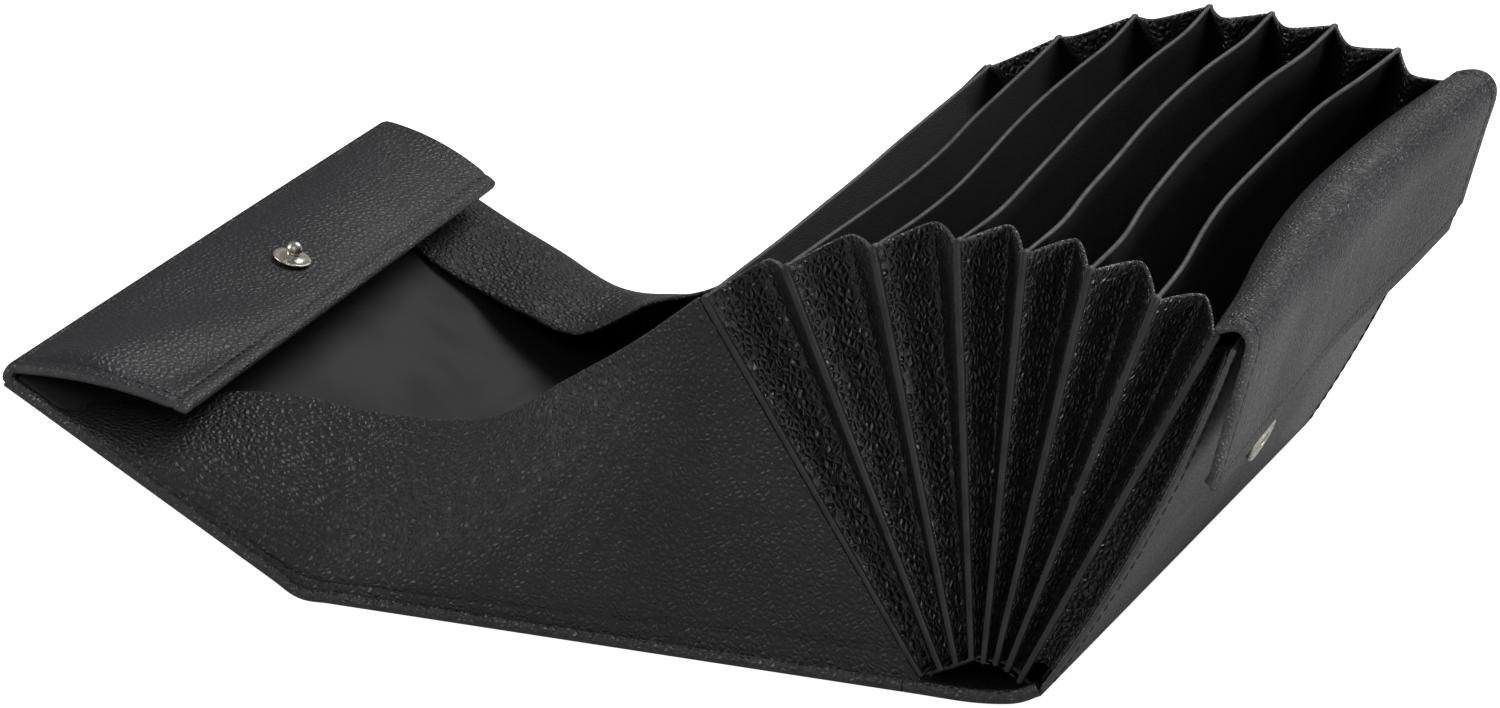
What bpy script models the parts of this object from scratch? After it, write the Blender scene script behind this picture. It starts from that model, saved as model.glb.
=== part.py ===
"""Waiter wallet: a fan of note dividers with accordion ends, inside a long wrap-round cover.

The cover opens into a coin tray in front of the fan. Its folded lip carries a snap stud that
closes on the socket of the outer panel, and a flap hangs over the pocket behind the last divider.
Metres, +Z up. The origin is on the table under the middle of the fan. +X runs from the coin tray
to the outer panel, and +Y runs from the near end of the fan to the far end.
"""
import math

import bmesh
import bpy
from mathutils import Vector

MM = 0.001

# Clearances between pieces
SEAM_GAP = 0.3 * MM
SNAP_SEAT = 0.35 * MM
FOOT_GAP = 0.65 * MM
FLAP_SEAT = 0.6 * MM

# Dividers and their folded end edges
LENGTH = 185 * MM
DIVIDER_HEIGHT = 95 * MM
DIVIDER_THICKNESS = 1.2 * MM
RIDGE_FOOT = 1.4 * MM
RIDGE_HEAD = 1.8 * MM
RIDGE_WIDTH = 3 * MM
RIDGE_RUNOUT = 0.8 * MM
DIVIDER_RISE_SHARES = (0.0, 0.5, 1.0)
# The dividers' top edges bow at mid-length, each by its share and towards the outer panel
TOP_BOW = 4 * MM
TOP_BOW_SHARES = (0.25, 0.75, 0.5, 0.15, -0.1, -0.55, -0.95, 0.0)
BOW_POWER = 3
LENGTH_SHARES = (0.0, 0.35, 0.6, 0.78, 0.91)

# Where the dividers grow out of the fan's base, counted from the coin tray
FOOT_CLEARANCE = 1.3 * MM
FOOT_PITCH = RIDGE_FOOT + FOOT_CLEARANCE
FOOT_PITCH_SHARES = (1.7, 1.3, 1.3, 1.0, 1.0, 0.96, 1.04)
FOOT_RISE = 9.5 * MM
FOOT_RISE_SHARES = (0.40, 0.63, 0.82, 1.0, 0.95, 0.95, 0.85, 0.62)
FIXED_DIVIDER = 3
FIXED_FOOT_X = -0.6 * MM
NEAR_LEANS = (-32.5, -22.9, -12.4, -2.9, 4.7, 12.0, 19.8, 26.7)
FAR_LEANS = (-34.0, -25.2, -15.4, -6.3, 1.3, 9.0, 17.0, 24.1)

# Accordion pleats
PLEAT_FOOT = 12 * MM
PLEAT_THIN = 0.5 * MM
PLEAT_THICK = 0.9 * MM
PLEAT_DEPTH_FOOT = 5 * MM
PLEAT_DEPTH_HEAD = 12 * MM
PLEAT_SETBACK = 1.5 * MM
PLEAT_FOLD = 0.8 * MM
PLEAT_LIFT = 1.4 * MM
PLEAT_RISE_SHARES = (0.0, 0.25, 0.5, 0.75, 1.0)
PLEAT_BEND_SHARES = (0.35, 0.55)

# Base of the fan
BASE_THICKNESS = 1.0 * MM
SPINE_THICKNESS = 1.5 * MM
SPINE_MARGIN = 3.5 * MM
SPINE_FLAT_END = 5 * MM
SPINE_KNEE_SHARES = (0.45, 0.32)
SPINE_TO_PANEL = 1.6 * MM
BASE_PANEL_SHARE = 1.3
LEAST_SLOPE = 0.1

# Outer panel and the pocket in front of it
POCKET_DEPTH = 5.7 * MM
POCKET_STEP = 1.7 * MM
PANEL_SHORTFALL = 1 * MM
PANEL_HEIGHT = DIVIDER_HEIGHT - PANEL_SHORTFALL
PANEL_LEATHER = 1.4 * MM
PANEL_LINING = 0.8 * MM
PANEL_LEANS = (26.4, 23.8)
PANEL_BELLY = 3 * MM
PANEL_RISE_SHARES = (0.0, 0.2, 0.4, 0.6, 0.8, 1.0)

# Flap over the pocket: its section is measured out and up from the last divider's top edge
FLAP_THICKNESS = 2.2 * MM
FLAP_REACH = 7.5 * MM
FLAP_ARCH = 2.4 * MM
FLAP_DROP = 36 * MM
FLAP_TUCK = 0.9 * MM
FLAP_FAR_REACH = 1.5 * MM
FLAP_HUG = 2.5 * MM
FLAP_CORNER = 5 * MM
FLAP_ARCH_SHARES = ((0.35, 0.92), (0.63, 1.0), (0.88, 0.55), (1.0, -0.75))
FLAP_LEAF_SHARES = (0.25, 0.5, 0.75, 0.9, 1.0)

# Cover: three lengths that fold on one another
COVER_LEATHER = 1.5 * MM
COVER_LINING = 1.2 * MM
COVER_THICKNESS = COVER_LEATHER + SEAM_GAP + COVER_LINING
COVER_OVERHANG = 1 * MM
LINING_INSET = 2 * MM
HINGE_SETBACK = 2.3 * MM
FRONT_LENGTH = 98.5 * MM
FRONT_START = 1.5 * MM
LINING_START = 2.5 * MM
TOP_LENGTH = 46 * MM
BACK_NEAR_LENGTH = 82 * MM
BACK_FAR_LENGTH = 76 * MM
COVER_WIDTH_SHARES = (-1.0, -0.6, -0.2, 0.2, 0.6, 1.0)
COVER_LENGTH_SHARES = (0.0, 0.33, 0.67, 1.0)
BACK_RISES = (29.3, 35.5)

# Folded lip at the cover's end
LIP_THICKNESS = 2.4 * MM
LIP_INSET = 6.7 * MM
LIP_NEAR_LENGTH = 41 * MM
LIP_FAR_LENGTH = 32 * MM
LIP_FALLS = (8.8, 18.3)
LIP_CROWN = 2 * MM
LIP_REACH_SHARES = (0.0, 0.2, 0.4, 0.6, 0.8, 1.0)

# Snap: every radius and height is measured from the seat it stands on
STUD_FROM_HINGE_SHARE = 0.57
STUD_FOOT_RADIUS = 4.6 * MM
STUD_FOOT_HEIGHT = 1.0 * MM
STUD_NECK_RADIUS = 1.5 * MM
STUD_BALL_RADIUS = 1.95 * MM
STUD_HEIGHT = 4.4 * MM
STUD_WAIST_SHARE = 1.2
STUD_BALL_SHARES = ((1.0, 0.0), (0.9, 0.45), (0.5, 0.87))
AXIS_STEP_SHARE = 0.02
CAP_RADIUS = 5.5 * MM
CAP_HEIGHT = 1.0 * MM
SOCKET_RISE = 34.7 * MM
SOCKET_RADIUS = 5.6 * MM
SOCKET_HEIGHT = 1.6 * MM
SOCKET_MOUTH = 2.2 * MM
SOCKET_FLOOR = 0.5 * MM
SOCKET_FLARE_SHARES = (1.25, 0.8)
ROUNDED_SHARE = 0.85
WASHER_RADIUS = 5.0 * MM
WASHER_HEIGHT = 0.7 * MM
TURNED_STEPS = 24
TURNED_SMOOTH_ANGLE = 35
MERGE_DISTANCE = 0.001 * MM

# Side gussets of the coin tray
GUSSET_THICKNESS = 1.0 * MM
GUSSET_SAG = 35 * MM
GUSSET_INSET = 1.5 * MM
GUSSET_SAG_POWER = 2.2
GUSSET_START_RISE = 3 * MM
GUSSET_RISE_SHARES = (0.0, 0.3, 0.6, 0.8, 1.0)
# Each row is a ray of the gusset: foot along the cover, edge along the cover, height, sag, crest.
# The front and top heights are shares of the dividers' height, the back ones of the lip's fold.
# The near gusset stands; the far one rises to a crest and then lies down over the tray's lining
GUSSET_CREST = 9 * MM
FRONT_RAY_SHARES = {
    "near": ((0.3, 0.665, 0.737, 0.17, 0), (0.6, 0.817, 0.621, 0.34, 0), (0.85, 0.909, 0.553, 0.44, 0),
             (0.994, 0.962, 0.505, 0.51, 0)),
    "far": ((0.3, 0.665, 0.700, 0.22, 0), (0.6, 0.817, 0.560, 0.34, 0), (0.85, 0.909, 0.460, 0.43, 0),
            (0.994, 0.962, 0.414, 0.49, 0)),
}
TOP_RAY_SHARES = {
    "near": ((0.012, -0.03, 0.495, 0.53, 0), (0.33, 0.26, 0.405, 0.71, 0), (0.67, 0.61, 0.358, 0.89, 0),
             (0.988, 0.94, 0.342, 0.97, 0)),
    "far": ((0.012, -0.03, 0.397, 0.51, 0), (0.33, 0.26, 0.275, 0.62, 0.1), (0.67, 0.61, 0.221, 0.72, 0.4),
            (0.988, 0.90, 0.150, 0.94, 0.9)),
}
BACK_RAY_SHARES = {
    "near": ((0.02, 0.0, 0.760, 0.97, 0), (0.25, 0.195, 0.782, 1.0, 0), (0.45, 0.378, 0.789, 0.90, 0),
             (0.68, 0.585, 0.820, 0.52, 0), (0.9, 0.80, 0.952, 0.06, 0)),
    "far": ((0.02, -0.02, 0.299, 0.96, 1.0), (0.25, 0.155, 0.393, 1.0, 0.85),
            (0.45, 0.305, 0.467, 0.96, 0.65), (0.68, 0.46, 0.598, 1.0, 0.35),
            (0.88, 0.62, 0.775, 0.9, 0.05)),
}

SIDES = (("near", -1), ("far", 1))
LEATHER_BLACK = (0.022, 0.022, 0.025)
LEATHER_SHEEN = (0.045, 0.047, 0.055)
LINING_BLACK = (0.014, 0.013, 0.015)
SNAP_CREAM = (0.72, 0.70, 0.64)


def make_material(name, colour, roughness, metallic=0.0):
    material = bpy.data.materials.new(name)
    material.use_nodes = True
    shader = material.node_tree.nodes["Principled BSDF"]
    shader.inputs["Base Color"].default_value = (*colour, 1)
    shader.inputs["Roughness"].default_value = roughness
    shader.inputs["Metallic"].default_value = metallic
    return material


def blend(near, far, y):
    """Value at y of a size that runs evenly from the near end to the far end."""
    share = 0.5 + y / LENGTH
    return near + (far - near) * share


def along(half, edge=0.0):
    """Places along the length, closer together towards the ends, where the walls curve."""
    places = [half * share for share in LENGTH_SHARES]
    if edge:
        places += [half - edge - RIDGE_RUNOUT, half - edge]
    places.append(half)
    return [-place for place in reversed(places[1:])] + places


class Wall:
    """A wall of the fan: it stands on its foot and leans by a little less or more at each end."""

    def __init__(self, foot, leans, height, top_bow=0.0, belly=0.0):
        self.foot = Vector((foot[0], 0, foot[1]))
        self.leans = [math.radians(lean) for lean in leans]
        self.height = height
        self.top_bow = top_bow
        self.belly = belly

    def lean(self, y):
        return blend(self.leans[0], self.leans[1], y)

    def up(self, y):
        return Vector((math.sin(self.lean(y)), 0, math.cos(self.lean(y))))

    def out(self, y):
        return Vector((math.cos(self.lean(y)), 0, -math.sin(self.lean(y))))

    def point(self, y, rise, outward=0.0):
        share = rise / self.height
        bow = self.top_bow * share * (1 - abs(2 * y / LENGTH) ** BOW_POWER)
        outward += self.belly * 4 * share * (1 - share)
        place = self.foot + self.up(y) * rise + self.out(y) * outward
        return place + Vector((bow, y, 0))


def foot_places():
    """(x, z) of each divider's foot."""
    offsets = [0.0]
    for share in FOOT_PITCH_SHARES:
        offsets.append(offsets[-1] + FOOT_PITCH * share)
    shift = FIXED_FOOT_X - offsets[FIXED_DIVIDER]
    return [(offset + shift, FOOT_RISE * share) for offset, share in zip(offsets, FOOT_RISE_SHARES)]


FEET = foot_places()
DIVIDERS = [Wall(foot, leans, DIVIDER_HEIGHT, TOP_BOW * share)
            for foot, leans, share in zip(FEET, zip(NEAR_LEANS, FAR_LEANS), TOP_BOW_SHARES)]
PANEL_FOOT = (FEET[-1][0] + POCKET_DEPTH, FEET[-1][1] - POCKET_STEP)
PANEL = Wall(PANEL_FOOT, PANEL_LEANS, PANEL_HEIGHT, belly=PANEL_BELLY)
COVER_HALF = LENGTH / 2 + COVER_OVERHANG
FRONT_HINGE = Vector((FEET[0][0] - HINGE_SETBACK, 0, COVER_THICKNESS))
TOP_HINGE = FRONT_HINGE + Vector((-FRONT_LENGTH, 0, 0))
BACK_HINGE = TOP_HINGE + Vector((-TOP_LENGTH, 0, 0))


def ridge_at(rise):
    return RIDGE_FOOT + (RIDGE_HEAD - RIDGE_FOOT) * rise / DIVIDER_HEIGHT


def sheet(name, rows, thickness, material, weights=None):
    """A grid of points given a wall thickness, half to each side."""
    mesh = bpy.data.meshes.new(name)
    build = bmesh.new()
    grid = [[build.verts.new(point) for point in row] for row in rows]
    for low, high in zip(grid, grid[1:]):
        for i in range(len(low) - 1):
            build.faces.new((low[i], low[i + 1], high[i + 1], high[i]))
    build.to_mesh(mesh)
    build.free()
    piece = bpy.data.objects.new(name, mesh)
    bpy.context.collection.objects.link(piece)
    solid = piece.modifiers.new("thickness", "SOLIDIFY")
    solid.thickness = thickness
    solid.offset = 0
    solid.use_even_offset = True
    if weights:
        group = piece.vertex_groups.new(name="wall")
        for index, weight in enumerate(w for row in weights for w in row):
            group.add([index], weight, "REPLACE")
        solid.vertex_group = "wall"
    piece.data.materials.append(material)
    return piece


def loft(name, near, far, material, half):
    """A closed solid between an outline at the near end and one at the far end."""
    mesh = bpy.data.meshes.new(name)
    build = bmesh.new()
    ends = []
    for outline, y in ((near, -half), (far, half)):
        ends.append([build.verts.new((x, y, z)) for x, z in outline])
    build.faces.new(ends[0])
    build.faces.new(list(reversed(ends[1])))
    count = len(near)
    for i in range(count):
        j = (i + 1) % count
        build.faces.new((ends[0][i], ends[1][i], ends[1][j], ends[0][j]))
    bmesh.ops.recalc_face_normals(build, faces=build.faces)
    build.to_mesh(mesh)
    build.free()
    piece = bpy.data.objects.new(name, mesh)
    bpy.context.collection.objects.link(piece)
    piece.data.materials.append(material)
    return piece


def turned(name, profile, seat, axis, material):
    """A round piece: (radius, height) points spun about the axis that stands on its seat."""
    mesh = bpy.data.meshes.new(name)
    build = bmesh.new()
    verts = [build.verts.new((radius, 0, height)) for radius, height in profile]
    edges = [build.edges.new(pair) for pair in zip(verts, verts[1:])]
    bmesh.ops.spin(build, geom=verts + edges, axis=(0, 0, 1), cent=(0, 0, 0),
                   angle=math.tau, steps=TURNED_STEPS, use_merge=True)
    bmesh.ops.remove_doubles(build, verts=build.verts, dist=MERGE_DISTANCE)
    bmesh.ops.recalc_face_normals(build, faces=build.faces)
    build.to_mesh(mesh)
    build.free()
    mesh.shade_smooth()
    mesh.set_sharp_from_angle(angle=math.radians(TURNED_SMOOTH_ANGLE))
    piece = bpy.data.objects.new(name, mesh)
    bpy.context.collection.objects.link(piece)
    piece.location = seat
    piece.rotation_euler = axis.to_track_quat("Z", "Y").to_euler()
    piece.data.materials.append(material)
    return piece


def make_divider(index, material):
    wall = DIVIDERS[index]
    places = along(LENGTH / 2, RIDGE_WIDTH)
    rises = [DIVIDER_HEIGHT * share for share in DIVIDER_RISE_SHARES]
    rows = [[wall.point(y, rise) for y in places] for rise in rises]
    last = LENGTH / 2 - RIDGE_WIDTH - RIDGE_RUNOUT / 2
    weights = []
    for rise in rises:
        ridge = ridge_at(rise)
        weights.append([(ridge if abs(y) > last else DIVIDER_THICKNESS) / RIDGE_HEAD for y in places])
    return sheet(f"divider_{index + 1}", rows, RIDGE_HEAD, material, weights)


def make_pleat(index, side, sign, material):
    """The fold that joins two neighbouring dividers at one end, pushed inwards."""
    left, right = DIVIDERS[index], DIVIDERS[index + 1]
    end = sign * LENGTH / 2
    rows, weights = [], []
    for share in PLEAT_RISE_SHARES:
        rise = PLEAT_FOOT + (DIVIDER_HEIGHT - PLEAT_FOOT) * share
        start, stop = left.point(end, rise), right.point(end, rise)
        width = (stop - start).length
        across = (stop - start) / width
        thickness = PLEAT_THIN + (PLEAT_THICK - PLEAT_THIN) * share
        depth = PLEAT_DEPTH_FOOT + (PLEAT_DEPTH_HEAD - PLEAT_DEPTH_FOOT) * share
        clear = ridge_at(rise) / 2 + SEAM_GAP + thickness / 2
        fold = width / 2 - min(PLEAT_FOLD, width / 2 - clear)
        bend_across, bend_in = PLEAT_BEND_SHARES
        half = [(clear, 0.0), (clear + (fold - clear) * bend_across, depth * bend_in), (fold, depth)]
        section = half + [(width - x, inward) for x, inward in reversed(half)]
        lift = PLEAT_LIFT * share
        rows.append([start + across * x - Vector((0, sign * (PLEAT_SETBACK + inward), -lift * inward / depth))
                     for x, inward in section])
        weights.append([thickness / PLEAT_THICK] * len(section))
    return sheet(f"{side}_pleat_{index + 1}", rows, PLEAT_THICK, material, weights)


def make_flat_pleat(side, sign, material):
    """The last pleat lies folded flat against the last divider, in front of the outer panel."""
    wall = DIVIDERS[-1]
    rises = [PLEAT_FOOT + (DIVIDER_HEIGHT - PLEAT_FOOT) * share for share in PLEAT_RISE_SHARES]
    rows = []
    for rise in rises:
        row = []
        for inward in (0.0, PLEAT_DEPTH_FOOT, PLEAT_DEPTH_HEAD):
            y = sign * (LENGTH / 2 - PLEAT_SETBACK - inward)
            row.append(wall.point(y, rise, ridge_at(rise) / 2 + SEAM_GAP + PLEAT_THICK / 2))
        rows.append(row)
    return sheet(f"{side}_pleat_{len(DIVIDERS)}", rows, PLEAT_THICK, material)


def spine_underside():
    """(x, z) points under the spine, from the tray side to the outer panel."""
    end_x = PANEL_FOOT[0] - SPINE_TO_PANEL
    end_z = PANEL_FOOT[1] - SPINE_TO_PANEL / 2
    across, up = SPINE_KNEE_SHARES
    knee = (SPINE_FLAT_END + (end_x - SPINE_FLAT_END) * across, end_z * up)
    return [(FEET[0][0] - SPINE_MARGIN, 0.0), (SPINE_FLAT_END, 0.0), knee, (end_x, end_z)]


def make_spine(material):
    under = spine_underside()
    over = []
    for i, (x, z) in enumerate(under):
        before = under[max(i - 1, 0)]
        after = under[min(i + 1, len(under) - 1)]
        slope = math.atan2(after[1] - before[1], after[0] - before[0])
        over.append((x - SPINE_THICKNESS * math.sin(slope), z + SPINE_THICKNESS * math.cos(slope)))
    outline = under + list(reversed(over))
    return loft("spine", outline, outline, material, COVER_HALF)


def make_fan_base(material):
    """The rolled fold that carries the dividers: it runs just under every foot."""
    drop = FOOT_GAP + BASE_THICKNESS / 2
    rows = []
    for y in (-LENGTH / 2, 0, LENGTH / 2):
        line = [wall.foot + Vector((0, y, 0)) - wall.up(y) * drop for wall in DIVIDERS]
        seat = SPINE_THICKNESS + SEAM_GAP + BASE_THICKNESS / 2
        tray_side = -DIVIDERS[0].out(y)
        reach = (line[0].z - seat) / max(-tray_side.z, LEAST_SLOPE)
        line.insert(0, line[0] + tray_side * reach)
        line.append(line[-1] + DIVIDERS[-1].out(y) * BASE_THICKNESS * BASE_PANEL_SHARE)
        rows.append(line)
    return sheet("fan_base", rows, BASE_THICKNESS, material)


def make_panel(name, depth, thickness, material, inset=0.0):
    """One layer of the outer panel, its middle lying depth inside the panel's outer face."""
    rows = []
    for share in PANEL_RISE_SHARES:
        rise = inset + (PANEL_HEIGHT - 2 * inset) * share
        rows.append([PANEL.point(y, rise, -depth) for y in along(LENGTH / 2 - inset)])
    return sheet(name, rows, thickness, material)


def flap_root(y):
    """The middle of the flap's sewn edge, just above the last divider's top."""
    wall = DIVIDERS[-1]
    return wall.point(y, DIVIDER_HEIGHT) + wall.up(y) * (FLAP_SEAT + FLAP_THICKNESS / 2)


def make_flap(material):
    """A leaf that arches over the pocket's mouth and hangs down outside the outer panel."""
    wall = DIVIDERS[-1]
    columns = []
    half = LENGTH / 2
    for y in along(half):
        top = wall.point(y, DIVIDER_HEIGHT)
        start = flap_root(y)
        reach = FLAP_REACH + blend(0.0, FLAP_FAR_REACH, y)
        column = [start]
        for out, up in FLAP_ARCH_SHARES:
            column.append(top + Vector((reach * out, 0, FLAP_ARCH * up)))
        shoulder = column[-1]
        hug = FLAP_HUG * (1 - (y / half) ** 2)
        drop = FLAP_DROP - blend(0.0, FLAP_CORNER / 2, y) * (abs(y) / half)
        low = top + Vector((blend(0.0, FLAP_FAR_REACH, y) - FLAP_TUCK - hug, 0, -drop))
        for share in FLAP_LEAF_SHARES:
            column.append(shoulder.lerp(low, share))
        columns.append(column)
    return sheet("pocket_flap", columns, FLAP_THICKNESS, material)


def slab_point(hinge, rise, distance, depth):
    """A point of a cover length: distance from its hinge, and depth below its inner face."""
    angle = math.radians(rise)
    x = hinge.x - distance * math.cos(angle) - depth * math.sin(angle)
    z = hinge.z + distance * math.sin(angle) - depth * math.cos(angle)
    return x, z


def make_cover(name, hinge, lengths, rises, start, lining_start, leather, lining):
    """Leather and lining of one length of the cover, as two pieces."""
    layers = (
        (f"{name}_cover", COVER_THICKNESS - COVER_LEATHER / 2, COVER_LEATHER, start, 0.0, leather),
        (f"{name}_lining", COVER_LINING / 2, COVER_LINING, lining_start, LINING_INSET, lining),
    )
    pieces = []
    for piece_name, depth, thickness, first, inset, material in layers:
        half = COVER_HALF - inset
        rows = []
        for y in [half * share for share in COVER_WIDTH_SHARES]:
            length = blend(lengths[0], lengths[1], y) - SEAM_GAP / 2
            rise = blend(rises[0], rises[1], y)
            row = []
            for share in COVER_LENGTH_SHARES:
                distance = first + (length - inset - first) * share
                x, z = slab_point(hinge, rise, distance, depth)
                row.append(Vector((x, y, z)))
            rows.append(row)
        pieces.append(sheet(piece_name, rows, thickness, material))
    return pieces


def cover_end(y):
    """The inner corner of the cover's free end, where the lip is folded over."""
    near = slab_point(BACK_HINGE, BACK_RISES[0], BACK_NEAR_LENGTH, 0.0)
    far = slab_point(BACK_HINGE, BACK_RISES[1], BACK_FAR_LENGTH, 0.0)
    return Vector((blend(near[0], far[0], y), y, blend(near[1], far[1], y)))


def lip_point(y, share, outward=0.0):
    """A point of the lip's middle surface, share of the way from the fold to its free edge."""
    rise = math.radians(blend(BACK_RISES[0], BACK_RISES[1], y))
    seat = Vector((math.sin(rise), 0, math.cos(rise))) * (SEAM_GAP + LIP_THICKNESS / 2)
    fall = math.radians(blend(LIP_FALLS[0], LIP_FALLS[1], y))
    length = blend(LIP_NEAR_LENGTH, LIP_FAR_LENGTH, y)
    crown = LIP_CROWN * 4 * share * (1 - share)
    run = Vector((math.cos(fall), 0, -math.sin(fall))) * length * share
    lift = Vector((math.sin(fall), 0, math.cos(fall))) * (crown + outward)
    return cover_end(y) + seat + run + lift


def make_lip(material):
    places = along(COVER_HALF - LIP_INSET)
    rows = [[lip_point(y, share) for y in places] for share in LIP_REACH_SHARES]
    return sheet("cover_lip", rows, LIP_THICKNESS, material)


def stud_profile():
    ball = STUD_HEIGHT - STUD_BALL_RADIUS
    dome = [(STUD_BALL_RADIUS * across, ball + STUD_BALL_RADIUS * up) for across, up in STUD_BALL_SHARES]
    return [(0, 0), (STUD_FOOT_RADIUS, 0), (STUD_FOOT_RADIUS, STUD_FOOT_HEIGHT / 2),
            (STUD_NECK_RADIUS * STUD_WAIST_SHARE, STUD_FOOT_HEIGHT),
            (STUD_NECK_RADIUS, ball - STUD_BALL_RADIUS / 2), *dome, (0, STUD_HEIGHT)]


def disc_profile(radius, height):
    return [(0, 0), (radius, 0), (radius, height / 2), (radius * ROUNDED_SHARE, height), (0, height)]


def socket_profile():
    flare, brim = SOCKET_FLARE_SHARES
    return [(0, 0), (SOCKET_RADIUS, 0), (SOCKET_RADIUS, SOCKET_HEIGHT / 2),
            (SOCKET_RADIUS * ROUNDED_SHARE, SOCKET_HEIGHT), (SOCKET_MOUTH * flare, SOCKET_HEIGHT),
            (SOCKET_MOUTH, SOCKET_HEIGHT * brim), (SOCKET_MOUTH, SOCKET_FLOOR), (0, SOCKET_FLOOR)]


def make_stud(metal):
    """Stud on the lip's upper face and its cap underneath, at mid-length."""
    here = lip_point(0, STUD_FROM_HINGE_SHARE)
    beyond = lip_point(0, STUD_FROM_HINGE_SHARE + AXIS_STEP_SHARE)
    run = (beyond - here).normalized()
    axis = Vector((-run.z, 0, run.x))
    lift = LIP_THICKNESS / 2 + SNAP_SEAT
    stud = turned("snap_stud", stud_profile(), here + axis * lift, axis, metal)
    cap = turned("stud_cap", disc_profile(CAP_RADIUS, CAP_HEIGHT), here - axis * lift, -axis, metal)
    return stud, cap


def make_socket(metal):
    """Socket on the outer panel's face and the washer behind its lining, at mid-length."""
    above = PANEL.point(0, SOCKET_RISE + SOCKET_RADIUS)
    below = PANEL.point(0, SOCKET_RISE - SOCKET_RADIUS)
    run = (above - below).normalized()
    axis = Vector((run.z, 0, -run.x))
    face = PANEL.point(0, SOCKET_RISE)
    behind = PANEL_LEATHER + SEAM_GAP + PANEL_LINING + SNAP_SEAT
    ring = turned("socket_ring", socket_profile(), face + axis * SNAP_SEAT, axis, metal)
    washer = turned("socket_washer", disc_profile(WASHER_RADIUS, WASHER_HEIGHT), face - axis * behind,
                    -axis, metal)
    return ring, washer


def gusset_ray(foot, edge, sign, sag, crest):
    """Points along one ray of a gusset, sagging inwards to its free edge over a crest."""
    ray = []
    for share in GUSSET_RISE_SHARES:
        place = foot.lerp(edge, share)
        inward = GUSSET_INSET + sag * share ** GUSSET_SAG_POWER
        height = place.z + crest * 4 * share * (1 - share)
        ray.append(Vector((place.x, sign * (COVER_HALF - inward), height)))
    return ray


def make_gusset(number, side, sign, rays, material):
    return sheet(f"{side}_gusset_{number}", rays, GUSSET_THICKNESS, material)


def gusset_rays(side, sign, hinge, rise, length, height, table):
    """Rays of the gusset over one length of the cover, their edge heights as shares of a height."""
    lift = SEAM_GAP + GUSSET_THICKNESS / 2
    rays = []
    for foot_share, edge_share, height_share, sag_share, crest_share in table[side]:
        x, z = slab_point(hinge, rise, length * foot_share, -lift)
        edge_x = hinge.x - length * edge_share
        edge = Vector((edge_x, 0, height * height_share))
        rays.append(gusset_ray(Vector((x, 0, z)), edge, sign, GUSSET_SAG * sag_share,
                               GUSSET_CREST * crest_share))
    return rays


def divider_ray(sign):
    """The gusset's first ray runs up beside the end edge of the first divider."""
    ray = []
    wall = DIVIDERS[0]
    y = sign * LENGTH / 2
    for share in GUSSET_RISE_SHARES:
        rise = GUSSET_START_RISE + (DIVIDER_HEIGHT - GUSSET_START_RISE) * share
        beside = ridge_at(rise) / 2 + SEAM_GAP + GUSSET_THICKNESS / 2
        place = wall.point(y, rise, -beside)
        ray.append(Vector((place.x, sign * (COVER_HALF - GUSSET_INSET), place.z)))
    return ray


def make_body(name, place, parent=None):
    """An empty on a joint's axis that carries the pieces of one moving body."""
    body = bpy.data.objects.new(f"{name}_axis", None)
    bpy.context.collection.objects.link(body)
    body.location = place
    if parent:
        bpy.context.view_layer.update()
        body.parent = parent
        body.matrix_parent_inverse = parent.matrix_world.inverted()
    return body


def carry(body, *pieces):
    bpy.context.view_layer.update()
    for piece in pieces:
        piece.parent = body
        piece.matrix_parent_inverse = body.matrix_world.inverted()


def clear_scene():
    for item in list(bpy.data.objects):
        bpy.data.objects.remove(item, do_unlink=True)


def build_fan(leather, band):
    """Dividers with their pleats. Returns the body that carries each divider."""
    dividers = [make_divider(index, band) for index in range(len(DIVIDERS))]
    base = make_body("base", Vector((0, 0, 0)))
    bodies = {FIXED_DIVIDER: base}
    order = list(range(FIXED_DIVIDER - 1, -1, -1)) + list(range(FIXED_DIVIDER + 1, len(DIVIDERS)))
    for index in order:
        inner = index + 1 if index < FIXED_DIVIDER else index - 1
        bodies[index] = make_body(f"divider_{index + 1}", DIVIDERS[index].foot, bodies[inner])
    for index, piece in enumerate(dividers):
        carry(bodies[index], piece)
    for side, sign in SIDES:
        for index in range(len(DIVIDERS) - 1):
            carry(bodies[index], make_pleat(index, side, sign, leather))
        carry(bodies[len(DIVIDERS) - 1], make_flat_pleat(side, sign, leather))
    return bodies


def build_panel(bodies, sheen, lining, metal):
    last = bodies[len(DIVIDERS) - 1]
    panel_body = make_body("outer_panel", PANEL.foot, last)
    leather = make_panel("outer_panel", PANEL_LEATHER / 2, PANEL_LEATHER, sheen)
    depth = PANEL_LEATHER + SEAM_GAP + PANEL_LINING / 2
    backing = make_panel("outer_lining", depth, PANEL_LINING, lining, LINING_INSET)
    carry(panel_body, leather, backing, *make_socket(metal))
    flap_body = make_body("pocket_flap", (flap_root(-LENGTH / 2) + flap_root(LENGTH / 2)) / 2, last)
    carry(flap_body, make_flap(sheen))


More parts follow.
